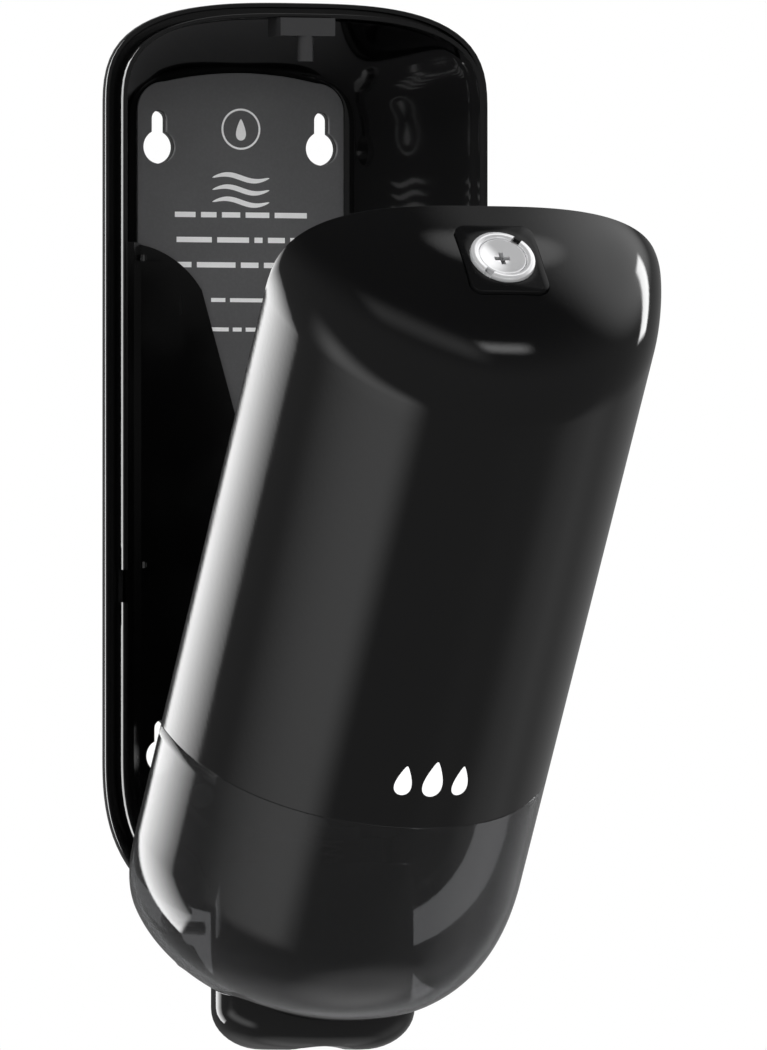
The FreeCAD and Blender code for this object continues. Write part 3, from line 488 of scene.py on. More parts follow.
def turned_in(inset0, y0, inset1, y1):
    """Rings of a quarter round whose first point leaves across Y."""
    rings = []
    for share in (0.0, 0.5, 1.0):
        a = share * math.pi / 2
        inset = inset0 + (inset1 - inset0) * math.sin(a)
        y = y0 + (y1 - y0) * (1 - math.cos(a))
        rings.append(inset_ring(inset, y))
    return rings


cavity_inset = TONGUE_INSET + TONGUE_WALL
tip_y = RIM_Y - TONGUE_HEIGHT
groove_y = RIM_Y + GROOVE_DEPTH
outer_rings = [flared_ring(0, EDGE, RIM_Y + RIM_BAND, 0, 1.0)]
outer_rings += [flared_ring(0, 0, RIM_Y + RIM_BAND, -EDGE, share) for share in np.linspace(1, 0, 19)]
lip_rings = rounding(0, RIM_Y + EDGE, EDGE, RIM_Y)
lip_rings += turned_in(LIP_WALL - EDGE, RIM_Y, LIP_WALL, RIM_Y + EDGE)
groove_rings = [inset_ring(LIP_WALL, groove_y), inset_ring(TONGUE_INSET, groove_y)]
tongue_rings = rounding(TONGUE_INSET, tip_y + EDGE, TONGUE_INSET + EDGE, tip_y)
tongue_rings += turned_in(cavity_inset - EDGE, tip_y, cavity_inset, tip_y + EDGE)
inner_rings = []
floor_y = -BACK_WALL
fillet_start = 1 - CAVITY_FILLET / (floor_y - RIM_Y)
for share in np.linspace(0, fillet_start, 20):
    inner_rings.append(flared_ring(cavity_inset, BACK_WALL, RIM_Y, floor_y, share))
for share in np.linspace(0, 1, 7)[1:]:
    a = share * math.pi / 2
    lean = fillet_start + (1 - fillet_start) * math.sin(a)
    extra = CAVITY_FILLET * (1 - math.cos(a))
    inner_rings.append(flared_ring(cavity_inset + extra, BACK_WALL + extra, RIM_Y, floor_y, lean))
shell = lofted("back_shell_body", outer_rings + lip_rings + groove_rings + tongue_rings + inner_rings)

FLOOR_CUT_HALF = 31.0
FLOOR_CUT_BACK = -37.0
FLOOR_CUT_TOP = 14.0
HOOK_LEVELS = (187.4, 101.8)
HOOK_X = (29.0, 31.0)
HOOK_HALF = 0.9
CATCH = (90.5, 99.5)  # levels of the notch in the tongue's left side
CATCH_STEP = 1.5  # what the notch leaves of the tongue above the rim
BEYOND = 10.0  # how far a cutter reaches past the shell


def hook_windows(outer):
    """Cutters for the slots that take the cradle's snap hooks."""
    cutters = []
    for level in HOOK_LEVELS:
        low, high = LOW + level - HOOK_HALF, LOW + level + HOOK_HALF
        for x0, x1 in ((HOOK_X[0], outer), (-outer, -HOOK_X[0])):
            cutters.append(block(x0, x1, *WALL_CUT, low, high))
    return cutters


ahead, below = RIM_Y - BEYOND, LOW - BEYOND
cutters = keyholes() + hook_windows(HOOK_X[1])
cutters.append(
    block(-HALF - BEYOND, -HALF + BEYOND, ahead, RIM_Y - CATCH_STEP, LOW + CATCH[0], LOW + CATCH[1])
)
cutters.append(
    block(-FLOOR_CUT_HALF, FLOOR_CUT_HALF, ahead, FLOOR_CUT_BACK, below, LOW + FLOOR_CUT_TOP)
)
carve(shell, cutters)


def group(name, inputs, outputs):
    """Empty shader node group with named inputs (name, value) and outputs (name, kind)."""
    tree = bpy.data.node_groups.new(name, "ShaderNodeTree")
    for label, value in inputs:
        socket = tree.interface.new_socket(label, in_out="INPUT", socket_type="NodeSocketFloat")
        socket.default_value = value
    for label, kind in outputs:
        tree.interface.new_socket(label, in_out="OUTPUT", socket_type="NodeSocket" + kind)
    return tree, tree.nodes.new("NodeGroupInput"), tree.nodes.new("NodeGroupOutput")


def noise(tree, point, scale, detail=2.0, stretch=None):
    """Noise value at object points; scale and stretch may be sockets or numbers."""
    if stretch is not None:
        squeeze = node(tree, "ShaderNodeVectorMath", operation="MULTIPLY")
        tree.links.new(point, squeeze.inputs[0])
        squeeze.inputs[1].default_value = stretch
        point = squeeze.outputs[0]
    made = node(tree, "ShaderNodeTexNoise")
    tree.links.new(point, made.inputs["Vector"])
    if isinstance(scale, bpy.types.NodeSocket):
        tree.links.new(scale, made.inputs["Scale"])
    else:
        made.inputs["Scale"].default_value = scale
    made.inputs["Detail"].default_value = detail
    return made.outputs[0]


def ranged(tree, value, low, high, out_low, out_high):
    """Smooth step of a value from out_low at low to out_high at high; the last may be a socket."""
    made = node(tree, "ShaderNodeMapRange", interpolation_type="SMOOTHSTEP")
    tree.links.new(value, made.inputs["Value"])
    numbers = (low, high, out_low, out_high)
    for label, number in zip(("From Min", "From Max", "To Min", "To Max"), numbers):
        if isinstance(number, bpy.types.NodeSocket):
            tree.links.new(number, made.inputs[label])
        else:
            made.inputs[label].default_value = number
    return made.outputs[0]


# Polished mould finish: a faint ripple, cloudy handling marks, hairlines and settled dust.
polish, polish_in, polish_out = group(
    "polished_plastic",
    [("Roughness", 0.08), ("Smudge", 0.05), ("Dust", 0.3)],
    [("Roughness", "Float"), ("Dust", "Float"), ("Height", "Float")],
)
point = object_point(polish)
cloud = ranged(polish, noise(polish, point, 38, 4), 0.45, 0.75, 0.0, 1.0)
smudge = math_node(polish, "MULTIPLY", cloud, polish_in.outputs["Smudge"])
hairs = noise(polish, point, 900, 1, stretch=(1.0, 1.0, 0.02))
hairline = math_node(polish, "MULTIPLY", ranged(polish, hairs, 0.70, 0.74, 0.0, 0.05), cloud)
rough = math_node(polish, "ADD", polish_in.outputs["Roughness"], smudge)
polish.links.new(math_node(polish, "ADD", rough, hairline), polish_out.inputs["Roughness"])
specks = ranged(polish, noise(polish, point, 2600, 2), 0.69, 0.76, 0.0, 1.0)
facing = node(polish, "ShaderNodeSeparateXYZ")
polish.links.new(node(polish, "ShaderNodeNewGeometry").outputs["Normal"], facing.inputs[0])
settled = ranged(polish, facing.outputs["Z"], -0.1, 0.9, 0.15, 1.0)
lying = math_node(polish, "MULTIPLY", specks, settled)
dust = math_node(polish, "MULTIPLY", lying, polish_in.outputs["Dust"])
polish.links.new(dust, polish_out.inputs["Dust"])
ripple = math_node(polish, "MULTIPLY", noise(polish, point, 110, 1), 0.4)
skin = math_node(polish, "ADD", ripple, noise(polish, point, 700, 1))
polish.links.new(skin, polish_out.inputs["Height"])


def use_group(tree, kind, **values):
    """Node group placed in a material with its own values."""
    made = node(tree, "ShaderNodeGroup", node_tree=kind)
    for label, value in values.items():
        made.inputs[label].default_value = value
    return made


def bump(tree, shader, height, distance, strength=1.0):
    """Raise the shader's surface by a height, over a distance in metres."""
    made = node(tree, "ShaderNodeBump", Strength=strength, Distance=distance)
    tree.links.new(height, made.inputs["Height"])
    tree.links.new(made.outputs[0], shader.inputs["Normal"])


def blend_colours(tree, mask, first, second):
    """First colour where the mask is 0, second where it is 1."""
    made = node(tree, "ShaderNodeMix", data_type="RGBA")
    tree.links.new(mask, made.inputs["Factor"])
    made.inputs["A"].default_value = first
    made.inputs["B"].default_value = second
    return made.outputs["Result"]


DUST_GREY = (0.16, 0.155, 0.15, 1)
GLOSS_RIPPLE = 0.000004
PLASTIC_IOR = 1.5


def gloss_plastic(name, colour, roughness, smudge=0.04, dust=0.25):
    """Polished plastic of one colour with dust lying on it."""
    paint, tree, shader = material(name)
    finish = use_group(tree, polish, Roughness=roughness, Smudge=smudge, Dust=dust)
    dusty = blend_colours(tree, finish.outputs["Dust"], colour, DUST_GREY)
    tree.links.new(dusty, shader.inputs["Base Color"])
    tree.links.new(finish.outputs["Roughness"], shader.inputs["Roughness"])
    bump(tree, shader, finish.outputs["Height"], GLOSS_RIPPLE)
    shader.inputs["IOR"].default_value = PLASTIC_IOR
    return paint


shell_gloss = gloss_plastic("shell_gloss_black", SHELL_COLOUR, 0.07)
finished(shell, shell_gloss, "wall_unit", angle=40, stands_for=["back_shell"])

# ------------------------------------------------------------------------------------ info plate
# A thin matte grey plate snapped against the housing's back, behind the refill. It has the same
# keyholes and carries white print: a ring with a drop, a wave and plain rules.
plate_low, plate_high = [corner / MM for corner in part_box("info_plate")]
PLATE_CORNER = 8.0
PLATE_CROWN = 2.6  # rise of the top edge at its middle
PLATE_GREY = (0.092, 0.092, 0.095, 1)
PRINT_WHITE = (0.95, 0.95, 0.95, 1)
PRINT_THIN = (0.86, 0.86, 0.86, 1)  # where the ink lies thinner
PRINT_PROUD = 0.06
PLATE_EDGE = 0.25
PLATE_EASE = 0.08  # how far the edge's round is taken in at its middle
PLATE_GAP = 2.0  # how much further out the plate's hook slots are open


def plate_outline(inset):
    """Outline (x, z) of the plate: square below, round corners and a crowned edge above."""
    half, low = plate_high.x - inset, plate_low.z + inset
    top, corner = plate_high.z - inset, PLATE_CORNER - inset
    shoulder = top - PLATE_CROWN
    outline = [(-half, low), (half, low)]
    outline += list(circle(corner, 12, (half - corner, shoulder - corner), 0, 90))
    reach = half - corner
    for x in np.linspace(reach, -reach, 22)[1:-1]:
        outline.append((x, shoulder + PLATE_CROWN * (1 - (x / reach) ** 2)))
    outline += list(circle(corner, 12, (corner - half, shoulder - corner), 90, 180))
    return outline


plate_rings = [np.array([(u, plate_high.y, v) for u, v in plate_outline(0)])]
for inset, rise in ((0, PLATE_EDGE), (PLATE_EASE, PLATE_EASE), (PLATE_EDGE, 0)):
    plate_rings.append(np.array([(u, plate_low.y + rise, v) for u, v in plate_outline(inset)]))
plate = lofted("info_plate_sheet", plate_rings)
carve(plate, keyholes(grow=0.02) + hook_windows(HOOK_X[1] + PLATE_GAP))

# Fine spark-eroded texture of moulded plastic, with slight cloudiness.
grain, grain_in, grain_out = group(
    "moulded_grain",
    [("Scale", 1400.0), ("Roughness", 0.6), ("Cloud", 0.1)],
    [("Shade", "Float"), ("Roughness", "Float"), ("Height", "Float")],
)
point = object_point(grain)
pits = noise(grain, point, grain_in.outputs["Scale"], 2)
cloud = noise(grain, point, 45, 3)
shade = ranged(grain, cloud, 0.3, 0.7, 0.0, grain_in.outputs["Cloud"])
speckle = ranged(grain, pits, 0.35, 0.7, 0.0, grain_in.outputs["Cloud"])
grain.links.new(math_node(grain, "ADD", shade, speckle), grain_out.inputs["Shade"])
pitted = math_node(grain, "MULTIPLY", pits, 0.12)
rough = math_node(grain, "ADD", grain_in.outputs["Roughness"], pitted)
grain.links.new(rough, grain_out.inputs["Roughness"])
grain.links.new(pits, grain_out.inputs["Height"])


def matte_plastic(name, colour, roughness, depth=0.00002):
    """Textured plastic whose raised and cloudy spots are lighter than its colour."""
    paint, tree, shader = material(name)
    finish = use_group(tree, grain, Scale=1400.0, Roughness=roughness, Cloud=0.2)
    lighter = tuple(min(channel * 1.5, 1) for channel in colour[:3]) + (1,)
    clouded = blend_colours(tree, finish.outputs["Shade"], colour, lighter)
    tree.links.new(clouded, shader.inputs["Base Color"])
    tree.links.new(finish.outputs["Roughness"], shader.inputs["Roughness"])
    bump(tree, shader, finish.outputs["Height"], depth, 0.6)
    return paint


plate_matte = matte_plastic("plate_matte_grey", PLATE_GREY, 0.55)
finished(plate, plate_matte, "wall_unit", stands_for=["info_plate"])

white_ink, ink_tree, ink_shader = material("white_print")
ink_finish = use_group(ink_tree, grain, Scale=2200.0, Roughness=0.5, Cloud=0.25)
ink_colour = blend_colours(ink_tree, ink_finish.outputs["Shade"], PRINT_WHITE, PRINT_THIN)
ink_tree.links.new(ink_colour, ink_shader.inputs["Base Color"])
ink_tree.links.new(ink_finish.outputs["Roughness"], ink_shader.inputs["Roughness"])


def printed(name, outlines, face, body):
    """Thin ink film: each outline is a list of (u, v) rows of points, mapped by face(u, v, lift)."""
    form = bmesh.new()
    for rows in outlines:
        rows = np.array(rows, float)
        levels = []
        for lift in (PRINT_PROUD, -PRINT_PROUD):
            levels.append([[form.verts.new(Vector(face(u, v, lift)) * MM) for u, v in row] for row in rows])
        for level in levels:
            for first, second in zip(level[:-1], level[1:]):
                for a, b, c, d in zip(first[:-1], first[1:], second[1:], second[:-1]):
                    form.faces.new((a, b, c, d))
        top, under = levels
        rims = [(top[0], under[0])]
        if np.ptp(rows[-1], axis=0).any():  # not drawn together into one point
            rims.append((top[-1], under[-1]))
        if not np.allclose(rows[0][0], rows[0][-1]):  # not a row that closes on itself
            rims.append(([r[0] for r in top], [r[0] for r in under]))
            rims.append(([r[-1] for r in top], [r[-1] for r in under]))
        for upper, lower in rims:
            for a, b, c, d in zip(upper[:-1], upper[1:], lower[1:], lower[:-1]):
                form.faces.new((a, b, c, d))
    bmesh.ops.remove_doubles(form, verts=form.verts, dist=1e-7)
    bmesh.ops.dissolve_degenerate(form, edges=form.edges, dist=1e-8)
    bmesh.ops.recalc_face_normals(form, faces=form.faces)
    mesh = bpy.data.meshes.new(name)
    form.to_mesh(mesh)
    form.free()
    return finished(placed(name, mesh), white_ink, body)


def ring_mark(radius, width, centre):
    """A plain ring."""
    outer, inner = circle(radius, 64, centre), circle(radius - width, 64, centre)
    return [np.concatenate([ring, ring[:1]]) for ring in (outer, inner)]


def drop_mark(height, centre):
    """A plain drop: round below, drawn up to a point."""
    rows = []
    for scale in (1.0, 0.66, 0.33, 0.0):
        row = []
        for a in np.radians(np.linspace(-90, 270, 41)):
            pinch = (1 + math.sin(a)) / 2
            wide = 0.34 * height * math.cos(a) * (1 - 0.72 * pinch)
            row.append((centre[0] + scale * wide, centre[1] + scale * height * 0.5 * math.sin(a)))
        rows.append(row)
    return rows


def bar_mark(x0, x1, z, thick):
    """A straight rule."""
    return [[(x, z + s * thick / 2) for x in np.linspace(x0, x1, 6)] for s in (1, -1)]


def wave_mark(width, thick, centre):
    """One wave that thins out at both ends."""
    rows = []
    for side in (1, -1):
        row = []
        for share in np.linspace(0, 1, 30):
            x = centre[0] + width * (share - 0.5)
            swell = thick / 2 * math.sin(math.pi * share) ** 0.5
            row.append((x, centre[1] + 0.9 * math.sin(2 * math.pi * share) + side * swell))
        rows.append(row)
    return rows


def on_plate(u, v, lift):
    """Point of the plate's face, raised by the lift."""
    return (u, plate_low.y - lift, v)


plate_marks = [ring_mark(5.75, 0.55, (0, 90.2)), drop_mark(6.0, (0, 90.0))]
plate_marks += [wave_mark(17, 1.5, (0, 76.6 - step * 3.4)) for step in range(3)]
RULES = (  # each line's level and thickness, and the start and end of its dashes
    (66.2, 1.5, ((-19.5, -13.4), (-11.8, -7.2), (-5.6, -0.2), (1.4, 8.4), (10.0, 19.5))),
    (59.2, 1.5, ((-19.0, -8.6), (-7.0, 2.4), (4.0, 6.4), (8.0, 13.0), (14.6, 19.2))),
    (52.2, 1.5, ((-19.5, -14.6), (-13.0, -1.6), (0.0, 5.2), (6.8, 17.0))),
    (42.4, 1.1, ((-8.8, -4.6), (-3.2, 9.0))),
    (34.2, 1.1, ((-9.8, -3.6), (-2.4, 0.2), (1.4, 10.0))),
)
for level, thick, dashes in RULES:
    plate_marks += [bar_mark(x0, x1, level, thick) for x0, x1 in dashes]
printed("plate_print", plate_marks, on_plate, "wall_unit")

# ------------------------------------------------------------- refill cradle, keeper and bracket
# Inner fittings: a gloss black cradle with a funnel-shaped gap that hugs the refill, the keeper
# that the lock catches, and the charcoal bracket that carries the refill's neck.
def refined(name):
    """Finer copy of a design solid: flat faces whole again, ready for rounded edges."""
    mesh = frame["nodes"][name].data.copy()
    form = bmesh.new()
    form.from_mesh(mesh)
    bmesh.ops.remove_doubles(form, verts=form.verts, dist=1e-6)
    flat = math.radians(0.6)
    bmesh.ops.dissolve_limit(form, angle_limit=flat, verts=form.verts, edges=form.edges)
    form.to_mesh(mesh)
    form.free()
    if "custom_normal" in mesh.attributes:
        mesh.attributes.remove(mesh.attributes["custom_normal"])
    return placed(name + "_body", mesh)


def dressed(name, paint, body, edge=0.3, angle=35.0):
    """Finer copy of a design solid, finished and standing for it."""
    return finished(refined(name), paint, body, edge, angle, [name])


CRADLE_BLACK = (0.0015, 0.0015, 0.0016, 1)
KEEPER_BLACK = (0.03, 0.03, 0.031, 1)
BRACKET_GREY = (0.024, 0.025, 0.027, 1)
cradle_gloss = gloss_plastic("cradle_gloss_black", CRADLE_BLACK, 0.16, smudge=0.12)
keeper_gloss = gloss_plastic("keeper_black", KEEPER_BLACK, 0.2)
bracket_matte = matte_plastic("bracket_charcoal", BRACKET_GREY, 0.42)
dressed("refill_cradle", cradle_gloss, "wall_unit", edge=0.0, angle=38)
dressed("latch_keeper", keeper_gloss, "wall_unit")
dressed("pump_bracket", bracket_matte, "wall_unit")

# --------------------------------------------------------------------- pins, screws and springs
# The cover and the push bar turn on ground steel pins pressed into the housing and its bracket.
# Zinc-plated cross-head screws hold the bracket, and two music-wire springs press its lifter down.
brushed, brushed_in, brushed_out = group(
    "drawn_metal",
    [("Roughness", 0.25), ("Wear", 0.2)],
    [("Shade", "Float"), ("Roughness", "Float"), ("Height", "Float")],
)
point = object_point(brushed)
lines = noise(brushed, point, 2600, 2, stretch=(0.05, 1.0, 1.0))
stain = ranged(brushed, noise(brushed, point, 160, 3), 0.4, 0.7, 0.0, brushed_in.outputs["Wear"])
brushed.links.new(stain, brushed_out.inputs["Shade"])
drawn = math_node(brushed, "MULTIPLY", lines, 0.14)
rough = math_node(brushed, "ADD", brushed_in.outputs["Roughness"], drawn)
brushed.links.new(math_node(brushed, "ADD", rough, stain), brushed_out.inputs["Roughness"])
brushed.links.new(lines, brushed_out.inputs["Height"])


LINE_DEPTH = 0.000003


def metal(name, colour, stained, roughness, wear=0.2):
    """Drawn or plated metal with stains of a second colour."""
    paint, tree, shader = material(name)
    finish = use_group(tree, brushed, Roughness=roughness, Wear=wear)
    worn = blend_colours(tree, finish.outputs["Shade"], colour, stained)
    tree.links.new(worn, shader.inputs["Base Color"])
    tree.links.new(finish.outputs["Roughness"], shader.inputs["Roughness"])
    shader.inputs["Metallic"].default_value = 1.0
    bump(tree, shader, finish.outputs["Height"], LINE_DEPTH)
    return paint


ground_steel = metal("ground_steel", (0.5, 0.5, 0.51, 1), (0.3, 0.29, 0.27, 1), 0.2)
zinc_plate = metal("zinc_plate", (0.52, 0.53, 0.55, 1), (0.34, 0.34, 0.33, 1), 0.3, wear=0.35)
spring_wire = metal("spring_wire", (0.32, 0.31, 0.3, 1), (0.18, 0.17, 0.16, 1), 0.28, wear=0.3)
for name in ("hinge_pins", "push_bar_pins"):
    dressed(name, ground_steel, "wall_unit")
dressed("bracket_screws", zinc_plate, "wall_unit", edge=0.1)

spring_low, spring_high = [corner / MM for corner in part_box("return_springs")]
SPRING_X = 14.2
SPRING_RADIUS = 2.7
WIRE_RADIUS = 0.3
SPRING_TURNS = 6.5
SPRING_STEPS = 220
END_TURN = 0.1  # share of the wire in each closed end
END_RISE = 0.035  # share of the height from each end to the wire's middle


def spring(x, y, z0, z1):
    """Compression spring with its end turns closed up."""
    rings = []
    for share in np.linspace(0, 1, SPRING_STEPS + 1):
        middle = min(max((share - END_TURN) / (1 - 2 * END_TURN), 0), 1)
        rise = END_RISE * (1 + 2 * share) + (1 - 4 * END_RISE) * middle
        a = 2 * math.pi * SPRING_TURNS * share
        out = Vector((math.cos(a), math.sin(a), 0))
        up = Vector((0, 0, 1))
        centre = Vector((x, y, z0 + (z1 - z0) * rise)) + out * SPRING_RADIUS
        round_wire = circle(WIRE_RADIUS, 10)
        rings.append(np.array([centre + out * u + up * v for u, v in round_wire]))
    return lofted("spring", rings)


spring_y = (spring_low.y + spring_high.y) / 2
pair = [spring(x, spring_y, spring_low.z, spring_high.z) for x in (-SPRING_X, SPRING_X)]
springs = joined("return_spring_pair", pair)
finished(springs, spring_wire, "wall_unit", stands_for=["return_springs"])
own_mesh(springs)

# ------------------------------------------------------------------------ push bar and its works
# The gloss black bar that the user pushes: a hollow nose under the cover, open at its back, with
# a hole for the pump's outlet. Its acetal fork lifts the plate that works the pump.
bar_low, bar_high = [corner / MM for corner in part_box("push_bar")]
BAR_POWER = 2.4
BAR_SQUARE = -62.5  # where the straight sides end and the round front starts
BAR_ROUND = 11.5  # height of the round along its foot
BAR_DRAW = (15.0, 9.0)  # how far the round draws the sides and the front in
SPOUT_Y = -58.0
BAR_WALL = 2.4
BAR_GROOVE = 45.6  # radius of the shallow hollow under its front
BAR_GROOVE_RISE = 1.0  # height of the hollow at its middle
BAR_EDGE = 0.4
BAR_GLOSS = 0.06
SPOUT_RADIUS = 11.0
SPOUT_CUT = (-5.0, 7.0)  # levels of its cutter about the bar's underside
BOSS_RADIUS = 4.2
BOSS_X = (21.5, 27.0)
PIN_BORE = 2.05
FORK_GREY = (0.3, 0.31, 0.32, 1)
LIFTER_GREY = (0.45, 0.46, 0.47, 1)
ACETAL_DEPTH = 0.000008


def bar_ring(inset, z, back, drawn=0.0, shrink=0.0):
    """D-shaped plan of the bar as an open run of points from its left to its right back corner."""
    half = bar_high.x - inset - BAR_DRAW[0] * drawn
    depth = BAR_SQUARE - bar_low.y - inset - BAR_DRAW[1] * drawn
    run = [(half, y) for y in np.linspace(back, BAR_SQUARE, 4)[:-1]]
    run += [(x, BAR_SQUARE - y) for x, y in arch(half, depth, BAR_POWER, 30)]
    run = np.array([(-x, y) for x, y in run] + run[-2::-1])
    centre = np.array([0, back])
    run = centre + (run - centre) * (1 - shrink)
    return np.array([(x, y, z) for x, y in run])


def bar_grid(inset, edge):
    """Rows of the bar's wall, from its open top over its round foot to the middle of its floor."""
    back, top, foot = bar_high.y - edge, bar_high.z - edge, bar_low.z + BAR_ROUND
    rows = [bar_ring(inset, z, back) for z in np.linspace(top, foot, 12)[:-1]]
    for share in np.linspace(0, 1, 12):
        a = share * math.pi / 2
        rows.append(bar_ring(inset, foot - (BAR_ROUND - inset) * math.sin(a), back, 1 - math.cos(a)))
    for shrink in np.linspace(0, 1, 9)[1:]:
        rows.append(bar_ring(inset, bar_low.z + inset, back, 1.0, shrink))
    rows = np.array(rows)
    groove = bar_low.z + BAR_GROOVE_RISE - BAR_GROOVE + np.sqrt(BAR_GROOVE**2 - rows[..., 0] ** 2)
    rows[..., 2] = np.maximum(rows[..., 2], groove + inset)
    return rows


def wall_between(name, layers):
    """Closed wall: the first layer is its outside, the last its inside, the others its edge's round."""
    rows, columns = layers[0].shape[:2]
    border = [(0, c) for c in range(columns)] + [(r, columns - 1) for r in range(1, rows)]
    border += [(rows - 1, c) for c in range(columns - 2, -1, -1)] + [(r, 0) for r in range(rows - 2, 0, -1)]
    points = [layers[0].reshape(-1, 3), layers[-1].reshape(-1, 3)]
    size = rows * columns
    faces = []
    for base in (0, size):
        for r in range(rows - 1):
            for c in range(columns - 1):
                a = base + r * columns + c
                faces.append((a, a + 1, a + columns + 1, a + columns))
    loops = [[r * columns + c for r, c in border]]
    for layer in layers[1:-1]:
        start = sum(len(p) for p in points)
        points.append(np.array([layer[r, c] for r, c in border]))
        loops.append(list(range(start, start + len(border))))
    loops.append([size + r * columns + c for r, c in border])
    for first, second in zip(loops[:-1], loops[1:]):
        for i in range(len(border)):
            k = (i + 1) % len(border)
            faces.append((first[i], first[k], second[k], second[i]))
    return solid(name, np.concatenate(points), faces)


# Shares of the edge radius: how far each layer lies inwards, and how far it stands back.
EDGE_ROUND = ((0.0, 1.0), (0.29, 0.29), (1.0, 0.0))


def edge_layers(make, wall, edge):
    """Layers (make(inset, standoff)) that carry a rounded edge from a wall's outside to its inside."""
    layers = [make(edge * inward, edge * back) for inward, back in EDGE_ROUND]
    layers += [make(wall - edge * inward, edge * back) for inward, back in EDGE_ROUND[::-1]]
    return layers


bar = wall_between("push_bar_shell", edge_layers(bar_grid, BAR_WALL, BAR_EDGE))
spout = [(x, y, bar_low.z + SPOUT_CUT[0]) for x, y in circle(SPOUT_RADIUS, 64, (0, SPOUT_Y))]
carve(bar, [prism("spout", spout, (0, 0, SPOUT_CUT[1] - SPOUT_CUT[0]))])
bar_gloss = gloss_plastic("bar_gloss_black", SHELL_COLOUR, BAR_GLOSS, smudge=0.08)
finished(bar, bar_gloss, "bar", angle=20, stands_for=["push_bar"])

fork_matte = matte_plastic("fork_acetal", FORK_GREY, 0.35, ACETAL_DEPTH)
lifter_matte = matte_plastic("lifter_acetal", LIFTER_GREY, 0.38, ACETAL_DEPTH)
dressed("lift_fork", fork_matte, "bar")
dressed("pump_lifter", lifter_matte, "lifter", edge=0.25)
pivot_y, pivot_z = [value / MM for value in joints["push_bar_hinge"]["pos_m"][1:]]


def boss(side):
    """Sleeve on the bar's side wall that turns on its pivot pin."""
    near, far = side * BOSS_X[0], side * BOSS_X[1]
    rings = []
    for radius, x in ((BOSS_RADIUS, near), (BOSS_RADIUS, far), (PIN_BORE, far), (PIN_BORE, near)):
        rings.append(np.array([(x, pivot_y + u, pivot_z + v) for u, v in circle(radius, 40)]))
    return lofted("boss", rings + rings[:1], capped=False)


bosses = joined("push_bar_bosses", [boss(side) for side in (-1, 1)])
finished(bosses, bar_gloss, "bar", edge=0.3)

# ----------------------------------------------------------------------------------- front cover
# The tall gloss black cover, moulded with a domed top. Its surface is an ellipse across, set back
# behind the rim, and runs straight down to the smoked window welded into its lower end.
COVER_OPEN = -joints["cover_hinge"]["range_deg"][0]
COVER_DEPTH = 62.0
COVER_WALL = 2.0
COVER_CLEARANCE = 0.3
COVER_EDGE = 0.14
SECTION_BACKSET = 12.0
WINDOW_CREST = 93.4
WINDOW_ARC = 158.0
WINDOW_SEAM = 0.01
COVER_COLOUR = (0.0035, 0.0035, 0.0037, 1)
cover_y = RIM_Y - COVER_CLEARANCE
dome_z = TOP - TOP_ROUND
foot_z = LOW + LOW_ROUND
hinge = Vector((0, hinge_y, hinge_z))
swing = Matrix.Rotation(math.radians(COVER_OPEN), 4, "X")
swing = Matrix.Translation(hinge) @ swing @ Matrix.Translation(-hinge)


def opened(points):
    """Points of the closed cover, swung to the open pose in which the dispenser is stored."""
    points = np.array(points, float)
    swung = points.reshape(-1, 3) @ np.array(swing.to_3x3()).T + np.array(swing.translation)
    return swung.reshape(points.shape)


def section_depth(x, inset):
    """How far the cover stands out in front of the rim at x."""
    full = COVER_DEPTH - inset + SECTION_BACKSET
    wide = (HALF - inset) / math.sqrt(1 - (SECTION_BACKSET / full) ** 2)
    return full * math.sqrt(max(1 - (x / wide) ** 2, 0)) - SECTION_BACKSET


def arch_rise(x, inset, rise, power):
    """Height at x of an arch over the full width that rises to the given height in the middle."""
    return (rise - inset) * max(1 - (abs(x) / (HALF - inset)) ** power, 0) ** (1 / power)


def window_top(x):
    """Level of the seam between cover and window, an arc that dips at both sides."""
    return LOW + WINDOW_CREST - WINDOW_ARC + math.sqrt(WINDOW_ARC**2 - x**2)


# Places across the cover as shares of its half width, closer together towards its sides.
COLUMNS = [math.sin(a) for a in np.radians(np.linspace(-90, 90, 121))]


def cover_rows(inset, edge):
    """Grid of the cover's surface: over the dome, then down to the window's curved top."""
    grid = []
    for share in COLUMNS:
        x = share * (HALF - inset)
        deep, rise = section_depth(x, inset), arch_rise(x, inset, TOP_ROUND, TOP_POWER)
        column = []
        for a in np.radians(np.linspace(0, 90, 37)):
            column.append((x, cover_y - deep * math.sin(a), dome_z + rise * math.cos(a)))
        end = window_top(x) + WINDOW_SEAM + edge
        column += [(x, cover_y - deep, z) for z in np.linspace(dome_z, end, 30)[1:]]
        grid.append(column)
    grid = np.array(grid)
    grid[..., 1] = np.minimum(grid[..., 1], cover_y - edge)
    return opened(grid.transpose(1, 0, 2))


def window_rows(inset, edge):
    """Grid of the window's surface: from its curved top down and round under the dispenser."""
    grid = []
    for share in COLUMNS:
        x = share * (HALF - inset)
        deep, rise = section_depth(x, inset), arch_rise(x, inset, LOW_ROUND, LOW_POWER)
        start = window_top(x) - WINDOW_SEAM - edge
        column = [(x, cover_y - deep, z) for z in np.linspace(start, foot_z, 12)[:-1]]
        for a in np.radians(np.linspace(0, 90, 49)):
            column.append((x, cover_y - deep * math.cos(a), foot_z - rise * math.sin(a)))
        grid.append(column)
    grid = np.array(grid)
    grid[..., 1] = np.minimum(grid[..., 1], cover_y - edge)
    return opened(grid.transpose(1, 0, 2))


LOCK_FORWARD = 22.3  # of the rim, on the closed cover
BEZEL_SIZE = (22.5, 25.0)
BEZEL_CORNER = 3.5
BEZEL_SEAM = 0.25
SEAT_CUT = (-12.0, 8.0)  # levels of the cutter for the bezel's seat


